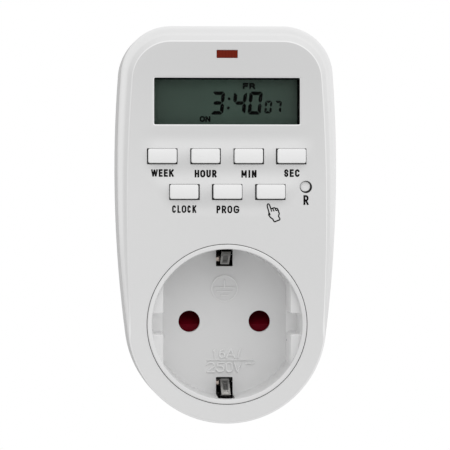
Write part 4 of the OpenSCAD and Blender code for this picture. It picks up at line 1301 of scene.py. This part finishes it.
# %% [markdown]
# ## Keys
# A key is a small block with rounded corners whose top is gently crowned from its upper to its
# lower edge, so it catches a light line at the top and falls off below. It is modelled once
# and copied to its seven places. Each copy has its own mesh, because each one moves by itself.
# The keys sit with a little play in their openings, as real ones do. An Array modifier could
# repeat them, but it makes one mesh of them all.

# %% Keys
KEY_PROUD, CROWN_R = 1.0, 9.0


def crown(x, z):
    return CROWN_R - math.sqrt(CROWN_R**2 - z**2)


def key_outline(grow):
    width, height = KEY_W + 2 * grow, KEY_H + 2 * grow
    return rounded(box_outline(width, height), min(0.5, 0.3 * height))


top_steps = [(-KEY_PROUD, -g) for g in (1.86, 1.6, 1.3, 1.0, 0.7, 0.4)]
top_steps += round_over(-KEY_PROUD, 0.22)[::-1]
rings = [ring_at(key_outline(grow), depth, crown) for depth, grow in top_steps]
flange = [(2.3, 0.0), (2.3, 0.9), (3.1, 0.9), (3.1, -0.7)]
rings += [ring_at(key_outline(grow), depth) for depth, grow in flange]
stem = rounded(box_outline(2.4, 2.4), 0.35)
rings += [ring_at(stem, 3.1), ring_at(stem, 5.2)]
key = loft("key", rings)
tidy(key)
smooth(key, 40)
print("key:", len(key.data.polygons), "faces")


# %% Seven copies of the key
def copy_of(piece, name, move=(0, 0)):
    """A copy with its own mesh, moved across and up."""
    made = bpy.data.objects.new(name, piece.data.copy())
    bpy.context.scene.collection.objects.link(made)
    made.data.name = name
    made.data.transform(Matrix.Translation(Vector((move[0], 0, move[1])) * MM))
    return made


play = {
    "week": (0.05, 0.12), "hour": (0.0, 0.12), "minute": (-0.04, 0.12), "second": (0.1, 0.13),
    "clock": (-0.1, 0.1), "program": (0.12, 0.13), "manual": (0.12, 0.12),
}
for name, (x, z) in key_spots.items():
    piece = copy_of(key, f"{name}_key", (x + play[name][0], z + play[name][1]))
    settle(piece, f"key_{name}_body", "key_white", key_white, f"key_{name}")
bpy.data.objects.remove(key)

# %% [markdown]
# The reset button is a small round cap with a dished top, set deep so that it isn't pressed by
# chance. It could be a cylinder whose top is inset and pushed in, but one turned profile holds
# the dish, the rounded rim and the flange.

# %% Reset button
dish = [
    (0.80, 0.05), (0.79, 0.5), (0.77, 0.88), (0.74, 1.16), (0.76, 1.28), (0.86, 1.35),
    (0.93, 1.34), (1.05, 1.2), (2.3, 1.2), (2.3, 2.1), (3.1, 2.1), (3.1, 1.05), (5.2, 1.05),
]
button = turned("reset_button_cap", dish, 40, (RESET_SPOT[0] - 0.17, RESET_SPOT[1] + 0.15))
smooth(button)
settle(button, "reset_button_body", "key_white", reset_grey, "reset_button")

# %% [markdown]
# ## Display and indicator
# The window is a clear plate in its opening, with eased edges. Behind it a black printed frame
# hides the edge of the cell. Its opening is set a little low and to the left, so a dark band
# shows along the top and the right of the cell: a painted shadow of the window's edge. The frame
# could be a picture on the glass, but as a thin hoop it stays sharp from close by. The lens over
# the indicator lamp is a small plate of the same kind.

# %% Window, printed frame and lens
FRAME_MIDDLE, FRAME_FRONT, FRAME_BACK = (0, 58.9), 3.22, 3.27


def flanged(name, outline, front, foot, *further):
    """A plate whose front edge is eased, then its flange as pairs of an outline and depths."""
    steps = round_over(front, 0.12)[::-1] + [(foot, 0)]
    rings = [ring_at(grown(outline, grow), depth) for depth, grow in steps]
    rings += [ring_at(shape, depth) for shape, depths in further for depth in depths]
    return loft(name, rings)


plate = rounded(box_outline(WINDOW[2] - 0.3, WINDOW[3] - 0.3, WINDOW[:2]), 0.3)
back_plate = rounded(box_outline(40.2, 15.0, FRAME_MIDDLE), 0.4)
window = flanged("window_plate", plate, 0.6, 2.28, (back_plate, (2.28, 3.2)))
smooth(window)
settle(window, "root", "clear_window", clear_window, "display_window")

outer = box_outline(40.0, 14.8, FRAME_MIDDLE)
# The opening is set low and to the left, so the black shows as a band along the top and the right
# of the cell: a painted shadow of the window's edge.
inner = box_outline(38.0, 12.1, (-0.32, 58.6))
sections = [(outer, FRAME_BACK), (outer, FRAME_FRONT), (inner, FRAME_FRONT), (inner, FRAME_BACK)]
shadow_frame = loft("window_shadow_frame", [ring_at(outline, depth) for outline, depth in sections])
back_y = place(0, FRAME_BACK, 0).y
bridge(shadow_frame, lambda face: all(abs(v.co.y - back_y) < MM / 1000 for v in face.verts))
settle(shadow_frame, "root", "black_plastic", print_and_shadow_black)

lens_outline = rounded(box_outline(LENS[2] - 0.1, LENS[3] - 0.1, LENS[:2]), 0.15)
lens_flange = rounded(box_outline(7.2, 3.4, LENS[:2]), 0.3)
collar = [(lens_flange, (2.25, 3.05)), (lens_outline, (3.05, 4.0))]
lens = flanged("red_lens_piece", lens_outline, 0.08, 2.25, *collar)
smooth(lens)
settle(lens, "root", "red_lens", red_lens, "indicator_lens")

# %% [markdown]
# The figures of such a display are made of seven bars each, and lean a little. They lie just
# before the cell's face. A font could set them, but three shapes of bar are enough for all
# seven when they are turned over, and only the bars in use are made.

# %% Bars of a figure
LCD_BACK, LCD_FRONT, LEAN = 3.285, 3.265, 0.095
FIGURES = {"0": "abcdef", "3": "abcdg", "4": "bcfg", "7": "abc"}


def bar_shape(length, width, slip):
    """A bar from corner to corner along the top of a figure, mitred, with its corners cut off."""
    cut = 0.3 * width
    half = [(2 * cut, 0), (cut + slip, -cut + slip), (width + 2 * slip, -width)]
    return half + [(length - x, z) for x, z in half[::-1]]


def post_shape(length, width, slip, gap):
    """A bar from the corner down to the middle of a figure, where it is pointed."""
    cut, low = 0.3 * width, width / 2 + gap - length
    return [
        (0, -2 * cut), (cut - slip, -cut - slip), (width, -width - 2 * slip),
        (width, low), (width / 2, gap / 2 - length), (0, low),
    ]


def figure(text, left, low, width, height, stroke, gap):
    """One seven-segment figure as a list of thin solids."""
    slip = gap / 2.8
    top, upright = bar_shape(width, stroke, slip), post_shape(height / 2, stroke, slip, gap)
    half = [(stroke + gap, -stroke / 2), (stroke / 2 + gap, 0), (stroke + gap, stroke / 2)]
    middle = half[1:] + [(width - x, z) for x, z in half[::-1]] + half[:1]
    shapes = {
        "a": [(x, z + height) for x, z in top],
        "b": [(width - x, z + height) for x, z in upright],
        "c": [(width - x, -z) for x, z in upright],
        "d": [(x, -z) for x, z in top],
        "e": [(x, -z) for x, z in upright],
        "f": [(x, z + height) for x, z in upright],
        "g": [(x, z + height / 2) for x, z in middle],
    }
    made = []
    for part in FIGURES[text]:
        leaning = [(left + x + LEAN * z, low + z) for x, z in shapes[part]]
        made.append(loft("segment", [ring_at(leaning, d) for d in (LCD_BACK, LCD_FRONT)]))
    return made


print("bars of each figure:", {text: len(bars) for text, bars in FIGURES.items()})

# %% Figures and words on the display
# The low edge, width, height, stroke and gap of the hours and minutes, and of the seconds
LARGE, SMALL = (55.39, 3.5, 6.1, 0.93, 0.12), (55.72, 1.9, 3.36, 0.6, 0.15)
READING = [
    ("3", -4.43, LARGE), ("4", 1.41, LARGE), ("0", 5.54, LARGE), ("0", 9.95, SMALL),
    ("7", 12.47, SMALL),
]
pieces = [bar for text, left, size in READING for bar in figure(text, left, *size)]
colon = [(0.47, 57.14), (0.68, 59.58)]
pieces += [turned("dot", [(LCD_BACK, 0.38), (LCD_FRONT, 0.38)], 16, spot) for spot in colon]
lcd_figures = join(pieces)
lcd_figures.name = lcd_figures.data.name = "lcd_figures"
settle(lcd_figures, "root", "black_plastic", print_and_shadow_black)
words = [
    ("lcd_words", "FR", (4.29, 5.81, 6.02, 7.58), 62.16, 63.76, 0.46),
    ("on", "ON", (-7.13, -5.75, -5.64, -4.29), 53.44, 54.98, 0.38),
]
lcd_words = join([lettering(*word, LCD_FRONT, LCD_BACK) for word in words])
settle(lcd_words, "root", "black_plastic", print_and_shadow_black)

# %% [markdown]
# ## Printed legends
# The names of the keys are pad printed in black: a film of ink, a few hundredths of a
# millimetre thick. They could be painted on the face, but a thin solid keeps a clean edge at any
# distance and is made like the other letters.

# %% Key legends
INK = 0.02
legend_plan = {  # each name's low and high edge, its stroke, and the left and right of its letters
    "WEEK": (38.87, 40.86, 0.46, (-20.05, -18.24, -18.03, -17.01, -16.68, -15.63, -15.32, -14.07)),
    "HOUR": (38.71, 40.69, 0.47, (-8.58, -7.36, -7.11, -5.78, -5.49, -4.30, -3.96, -2.80)),
    "MIN": (38.62, 40.67, 0.47, (3.72, 5.2, 5.62, 6.05, 6.5, 7.75)),
    "SEC": (38.84, 40.87, 0.46, (15.05, 16.16, 16.51, 17.57, 17.9, 19.13)),
    "CLOCK": (
        29.37, 31.37, 0.40,
        (-14.5, -13.49, -13.11, -12.24, -12.0, -10.76, -10.49, -9.59, -9.16, -8.13),
    ),
    "PROG": (29.27, 31.3, 0.42, (-2.81, -1.75, -1.42, -0.24, 0.06, 1.34, 1.68, 3.21)),
    "R": (31.45, 34.05, 0.5, (20.14, 21.5)),
}
legends = join([
    lettering("key_legends", text, spans, low, high, stroke, -INK, 0.01)
    for text, (low, high, stroke, spans) in legend_plan.items()
])
settle(legends, "root", "black_plastic", legend_ink)

# %% [markdown]
# The manual key is named by a pointing hand: one thin closed line with short lines for the
# fingers. It could be pushed out of an outline as the letters are, but a line that bends this
# much is drawn sooner as a smooth curve with a round section, made a mesh and pressed flat.

# %% Hand drawn beside the manual key
hand = [
    (10.83, 31.74), (10.59, 31.44), (10.63, 30.89), (10.83, 30.23), (11.0, 29.63),
    (11.03, 29.17), (10.94, 28.89), (11.14, 28.59), (11.54, 28.07), (12.06, 27.71),
    (12.28, 27.27), (12.53, 27.04), (12.97, 27.2), (13.52, 27.42), (13.88, 27.6), (13.83, 27.99),
    (13.59, 28.43), (13.61, 28.78), (13.75, 29.11), (13.61, 29.58), (13.44, 30.12),
    (13.15, 30.55), (12.8, 30.55), (12.45, 30.71), (11.98, 30.6), (11.55, 30.55), (11.33, 31.06),
    (11.11, 31.54),
]
knuckles = [
    [(11.51, 30.51), (11.64, 30.07), (11.77, 29.69)],
    [(12.06, 30.51), (12.21, 30.12), (12.41, 29.76)],
    [(12.71, 30.44), (12.8, 30.14), (13.02, 29.99), (13.26, 30.11)],
    [(11.2, 29.39), (11.22, 29.08), (11.38, 28.84)],
]


FLATTEN = 0.25


def drawn_line(name, points, closed, width):
    """A thin flat line of ink along points, swept as a curve and turned into a mesh."""
    data = bpy.data.curves.new(name, "CURVE")
    data.dimensions, data.use_fill_caps = "3D", True
    data.bevel_depth, data.bevel_resolution, data.resolution_u = width / 2 * MM, 1, 4
    line = data.splines.new("BEZIER")
    line.bezier_points.add(len(points) - 1)
    line.use_cyclic_u = closed
    for point, (x, z) in zip(line.bezier_points, points):
        point.co = place(x, 0, z)
        point.handle_left_type = point.handle_right_type = "AUTO"
    piece = bpy.data.objects.new(name, data)
    bpy.context.scene.collection.objects.link(piece)
    pick(piece)
    bpy.ops.object.convert(target="MESH")
    piece = bpy.context.object
    face = place(0, 0, 0).y
    for vertex in piece.data.vertices:
        vertex.co.y = face + (vertex.co.y - face) * FLATTEN
    return piece


strokes = [drawn_line("hand_legend", hand, True, 0.38)]
strokes += [drawn_line("knuckle", line, False, 0.34) for line in knuckles]
hand_legend = join(strokes)
settle(hand_legend, "root", "black_plastic", legend_ink)

# %% [markdown]
# ## Plug pins and earth strips
# The pins are turned from brass rod and plated with nickel. Each is a circle that is pushed
# through the steps of a turned profile: a rivet tail, a head, the seat in the plug body and the
# long pin with its rounded end. A spin of half the profile would do too, but it leaves a seam
# and two poles to close.

# %% Pins
PIN_R, PIN_END, TIP_R = 2.4, 74.5, 2.2
for name, x, tail in [("live", -PIN_X, 38.9), ("neutral", PIN_X, 35.6)]:
    profile = [
        (tail, 1.3), (tail + 0.2, 1.5), (39.6, 1.5), (39.6, 3.4), (41.0, 3.4), (41.0, 2.7),
        (55.25, 2.7), (55.4, 2.6), (55.4, PIN_R),
    ]
    tip = arc((PIN_END - TIP_R, PIN_R - TIP_R), TIP_R, 90, 9, 9)
    profile += tip + [(PIN_END - 0.002, 0.1)]
    pin = turned(f"{name}_plug_pin", profile, 56, (x, 0))
    smooth(pin)
    settle(pin, "root", "nickel", nickel, f"{name}_pin")

# %% [markdown]
# An earth strip is a flat spring, bent from sheet. A line is extruded along the bends, given
# thickness with Solidify, and its edges are eased with Bevel. A curve could be swept along the
# bends instead, but it twists where they are tight. The panel pressed into the tongue is a low
# solid of its own.


# %% A strip bent along a line
def bent_strip(name, line, width, thick, side, ease=0.1):
    """A flat strip along a line of (depth, z) points."""
    pick_nothing()
    bpy.ops.mesh.primitive_plane_add(size=MM)
    piece = bpy.context.object
    piece.name = piece.data.name = name
    bends = [place(0, depth, side * z) for depth, z in line]
    half = Vector((width / 2 * MM, 0, 0))
    corners = sorted(piece.data.vertices, key=lambda v: (v.co.y, v.co.x))
    starts = [bends[0] - half, bends[0] + half, bends[1] - half, bends[1] + half]
    for vertex, start in zip(corners, starts):
        vertex.co = start
    with editing(piece):
        bpy.ops.mesh.select_mode(type="EDGE")
        for end, following in zip(bends[1:], bends[2:]):
            bpy.ops.mesh.select_all(action="DESELECT")
            mesh = bmesh.from_edit_mesh(piece.data)
            for edge in mesh.edges:
                away = [abs(v.co.y - end.y) + abs(v.co.z - end.z) for v in edge.verts]
                if max(away) < 2e-7:
                    edge.select_set(True)
            bmesh.update_edit_mesh(piece.data)
            move = {"value": tuple(following - end)}
            bpy.ops.mesh.extrude_region_move(TRANSFORM_OT_translate=move)
    change(piece, "SOLIDIFY", thickness=thick * MM, offset=0, use_even_offset=True)
    with editing(piece):
        face_outwards()
    change(
        piece, "BEVEL", width=ease * MM, segments=2, limit_method="ANGLE",
        angle_limit=math.radians(50),
    )
    return piece


trial = bent_strip("trial", [(0, 0), (10, 0), (15, 5)], 4, 1, 1)
print("trial strip:", len(trial.data.polygons), "faces")
bpy.data.objects.remove(trial)

# %% Earth strips
STRIP = 0.6  # thickness of the metal
tongue = [
    (5.8, 19.1), (8.7, 18.1), (11.6, 17.1), (14.6, 16.1), (15.3, 15.86), (16, 15.75),
    (16.7, 15.84), (17.4, 16.1), (18.2, 16.8), (19, 17.6), (19.7, 18.35), (20.4, 19),
    (21.0, 19.42), (21.6, 19.7), (22.6, 19.9),
]
strap = [(21.6, 19.9), (33.2, 19.9), (33.9, 19.55), (34.7, 18.45), (35.4, 18.1), (54, 18.1)]
# The pressed panel on the tongue is a low rounded frame with a sunk middle. Its slope and its
# normal, towards the axis, are in depth and z.
slope = (Vector(tongue[3]) - Vector(tongue[0])).normalized()
normal, panel_middle = Vector((slope.y, -slope.x)), Vector((9.6, 17.8))
panel_outline = rounded(box_outline(1.6, 6.4), 0.5)
panel_steps = [(0.0, 0.0), (-0.04, 0.12), (-0.12, 0.16), (-0.26, 0.16), (-0.36, 0.04)]
for name, side in [("upper", 1), ("lower", -1)]:
    rings = []
    for grow, rise in panel_steps:
        spots = [(across, panel_middle + slope * along + normal * (0.27 + rise))
                 for across, along in grown(panel_outline, grow)]
        rings.append([place(across, spot.x, side * spot.y) for across, spot in spots])
    strip = join([
        bent_strip(f"{name}_earth_strip", tongue, 2.4, STRIP, side, 0.16),
        bent_strip("strap", strap, 6.0, STRIP, side),
        loft("panel", rings),
    ])
    smooth(strip)
    settle(strip, "root", "nickel", nickel_strip, f"earth_strap_{name}")

# %% [markdown]
# ## Shutter and screws
# The red shutter is a ramped bar behind the pin holes, with a rib in its middle and a peg for
# its spring. It could be a box whose front is sheared into a ramp, but its profile says it all,
# so that profile is drawn from the side and pushed across instead of back.


# %% Shutter
def across_solid(name, profile, half_width, ease=0.15):
    """Pushes a profile of (depth, z) points from left to right, with eased ends."""
    inner, reach = grown(profile, -ease), half_width - ease
    sections = [(-half_width, inner), (-reach, profile), (reach, profile), (half_width, inner)]
    return loft(name, [[place(x, d, z) for d, z in outline] for x, outline in sections])


FRONT, BACK, HALF_H, COIL_DEPTH = 20.0, 26.2, 3.3, 23.2
ramp = rounded([
    (FRONT, -HALF_H), (BACK, -HALF_H), (BACK, HALF_H), (BACK - 1, HALF_H), (FRONT, -0.9),
], 0.25, 3)
rib = rounded([(FRONT, -HALF_H), (BACK, -HALF_H), (BACK, HALF_H), (FRONT, HALF_H)], 0.3, 3)
shutter = join([
    across_solid("shutter_bar", ramp, 12.8),
    across_solid("rib", rib, 3.0),
    loft("peg", [
        [place(x, depth, z) for x, depth in circle(r, 24, (0, COIL_DEPTH))]
        for z, r in [(-3.2, 0.9), (-4.7, 0.9), (-4.9, 0.7)]
    ]),
])
smooth(shutter)
settle(shutter, "shutter_body", "guard_red", guard_red, "shutter")

# %% [markdown]
# A screw is a turned shape like the pins, and its cross recess is cut with two crossed wedges.
# A true thread winds round, but at this size rings of the same pitch look alike and cost far
# less. All screws of one kind are copies of one, each turned a little differently.

# %% One screw
HEAD_H, THREAD_PITCH, CROSS_W = 1.4, 0.75, 0.6


def screw(head_r, shank_r, length):
    """A cross-head screw at the origin, its head's end face at y 0 and its shank ahead of it."""
    steps = [
        (0.0, 0.2), (-0.02, head_r * 0.5), (-0.16, head_r * 0.8), (-0.42, head_r * 0.97),
        (-0.6, head_r), (-1.25, head_r), (-HEAD_H, head_r - 0.12), (-HEAD_H, shank_r),
    ]
    end, depth = -HEAD_H - length, -1.5
    while depth > end + 1.2:
        steps += [(depth, shank_r * 0.8), (depth - 0.3, shank_r)]
        depth -= THREAD_PITCH
    steps += [(end + 0.6, shank_r * 0.8), (end, 0.15)]
    piece = turned("screw", [(depth + PLUG_END, r) for depth, r in steps], 28)
    wing = head_r * 1.24
    for size in ((wing, CROSS_W), (CROSS_W, wing)):
        shape = rounded(box_outline(*size), 0.16, 2)
        cross = [(PLUG_END + 0.5, 0.05), (PLUG_END - 0.75, -0.12)]
        boolean(piece, [solid("cross", shape, cross)])
    tidy(piece)
    return piece


trial = screw(2, 1, 5)
print("trial screw:", len(trial.data.polygons), "faces")
bpy.data.objects.remove(trial)


# %% Screws in their places
def drive(node, spots, head_depth, head_r, shank_r, length, backwards=False):
    """Puts copies of one screw at their places, each turned a little further than the last."""
    master = screw(head_r, shank_r, length)
    made = []
    for k, (x, z) in enumerate(spots):
        piece = copy_of(master, f"{node}_set" if k == 0 else "screw_copy")
        turn = Matrix.Rotation(math.pi, 4, "Z") if backwards else Matrix.Identity(4)
        twist = Matrix.Rotation(math.radians(23 + 37 * k), 4, "Y")
        piece.data.transform(Matrix.Translation(place(x, head_depth, z)) @ turn @ twist)
        made.append(piece)
    bpy.data.objects.remove(master)
    piece = join(made)
    smooth(piece)
    settle(piece, "root", "zinc_steel", zinc_steel, node)


LARGE_SCREW, SMALL_SCREW = (2.3, 1.27), (1.7, 0.85)  # radius of the head and of the shank
drive("housing_screws", HOUSING_SCREWS, 31.4, *LARGE_SCREW, 18)
drive("board_screws", BOARD_SCREWS, 10.5, *SMALL_SCREW, 5.2)
drive("socket_screws", SOCKET_SCREWS, 9.2, *SMALL_SCREW, 5.0)
drive("cover_screws", COVER_SCREWS, 29.0, *SMALL_SCREW, 14)
drive("power_board_screws", POWER_SCREWS, 31.6, *SMALL_SCREW, 4.4, backwards=True)
drive("carrier_screws", CARRIER_SCREWS, 34.8, *SMALL_SCREW, 7.0, backwards=True)

# %% [markdown]
# ## Pieces that give
# Each key stands on a hollow dome of the keypad mat, which buckles under it, and the shutter
# rests on a coil spring. The domes and the spring are pieces of their own. The mat's sheet is a
# plain plate with a hole behind each dome for its pill. It could be moulded in one with the
# domes, but here it is a piece apart.

# %% Keypad mat
DOME_TIP, MAT_FRONT, MAT_BACK, KEY_TRAVEL = 5.3, 6.7, 7.48, 0.8
domes = {f"key_{name}": spot for name, spot in key_spots.items()}
domes["reset"] = RESET_SPOT
mat_outline = rounded(box_outline(45.2, 15.1, (1.4, 39.35)), 0.6)
mat_sheet = solid("mat_sheet", mat_outline, round_over(MAT_FRONT, 0.12)[::-1] + [(MAT_BACK, 0.0)])
hollow = [(MAT_FRONT - 1, 1.5), (MAT_BACK + 1, 1.5)]
boolean(mat_sheet, [turned("hollow", hollow, 32, spot) for spot in domes.values()])
tidy(mat_sheet)
smooth(mat_sheet)
settle(mat_sheet, "root", "grey_rubber", grey_rubber, "keypad_mat")

# %% [markdown]
# A dome is a thin hollow cone with a solid tip. Shape keys could show how it buckles, but from
# outside only its height can be seen.

# %% Keypad domes
dome_steps = [
    (DOME_TIP, 0.05), (DOME_TIP, 1.3), (DOME_TIP + 0.03, 1.43), (DOME_TIP + 0.12, 1.54),
    (MAT_FRONT - 0.15, 2.05), (MAT_FRONT - 0.03, 2.13), (MAT_FRONT, 2.2), (MAT_FRONT + 0.02, 2.2),
    (MAT_FRONT + 0.02, 1.5), (DOME_TIP + KEY_TRAVEL, 1.5), (DOME_TIP + KEY_TRAVEL, 0.05),
]
for name, spot in domes.items():
    dome = turned(f"{name}_dome", dome_steps, 32, spot)
    smooth(dome)
    settle(dome, "root", "grey_rubber", grey_rubber, "keypad_mat")
    foot = place(spot[0], MAT_FRONT + 0.02, spot[1])
    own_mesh(dome)

# %% [markdown]
# The spring is a coil of steel wire. A Screw modifier could wind it, but a small circle that is
# extruded step by step round the axis needs only the helper that is already here, and its two
# ends come out closed.

# %% Shutter spring
COIL_R, WIRE_R, COIL_TURNS, COIL_LOW, COIL_HIGH = 1.6, 0.22, 8, -14.56, -3.54
SHUTTER_TRAVEL, TURN_STEPS = 6.3, 20
coil = []
for step in range(COIL_TURNS * TURN_STEPS + 1):
    turn = 2 * math.pi * step / TURN_STEPS
    height = COIL_LOW + (COIL_HIGH - COIL_LOW) * step / (COIL_TURNS * TURN_STEPS)
    wire = circle(WIRE_R, 10, (COIL_R, height))
    coil.append([place(r * math.cos(turn), COIL_DEPTH + r * math.sin(turn), z) for r, z in wire])
spring = loft("coil_spring", coil)
smooth(spring, 50)
settle(spring, "root", "spring_steel", spring_steel, "shutter_spring")
seat = place(0, COIL_DEPTH, COIL_LOW - WIRE_R)
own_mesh(spring)

# %% [markdown]
# ## Pieces inside
# The boards, wires and contacts are already right as solids. They could be modelled again with
# rounded edges, but they are out of sight, so they keep their meshes, and only their plain
# colours are exchanged for finishes.

# %% Finishes for the pieces inside
inner_finishes = {
    "contact_pills": carbon_rubber, "display_holder": black_plastic,
    "display_glass": lcd_glass, "zebra_strip": zebra_rubber, "control_board": board_green,
    "controller_chip": black_resin, "clock_crystal": tin, "backup_cell": tin,
    "indicator_lamp": red_lens, "power_board": board_green, "relay": relay_blue,
    "mains_capacitor": capacitor_yellow, "smoothing_capacitor": capacitor_sleeve,
    "rectifier_diodes": black_resin, "surge_disc": disc_blue, "dropper_resistor": resistor_tan,
    "ribbon_cable": ribbon_grey, "live_in_wire": wire_brown, "live_out_wire": wire_black,
    "neutral_wire": wire_blue, "live_strip": brass, "live_contact": brass,
    "neutral_contact": brass, "contact_carrier": carrier_plastic, "earth_bridge": bronze,
    "shutter_cover": carrier_plastic,
}
for name, finish in inner_finishes.items():
    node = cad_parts[name]
    node.data.materials.clear()
    node.data.materials.append(finish)
plain = [n for n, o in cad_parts.items() if not o.hide_render and n not in inner_finishes]
print(len(inner_finishes), "pieces inside have their finish; without one:", plain)
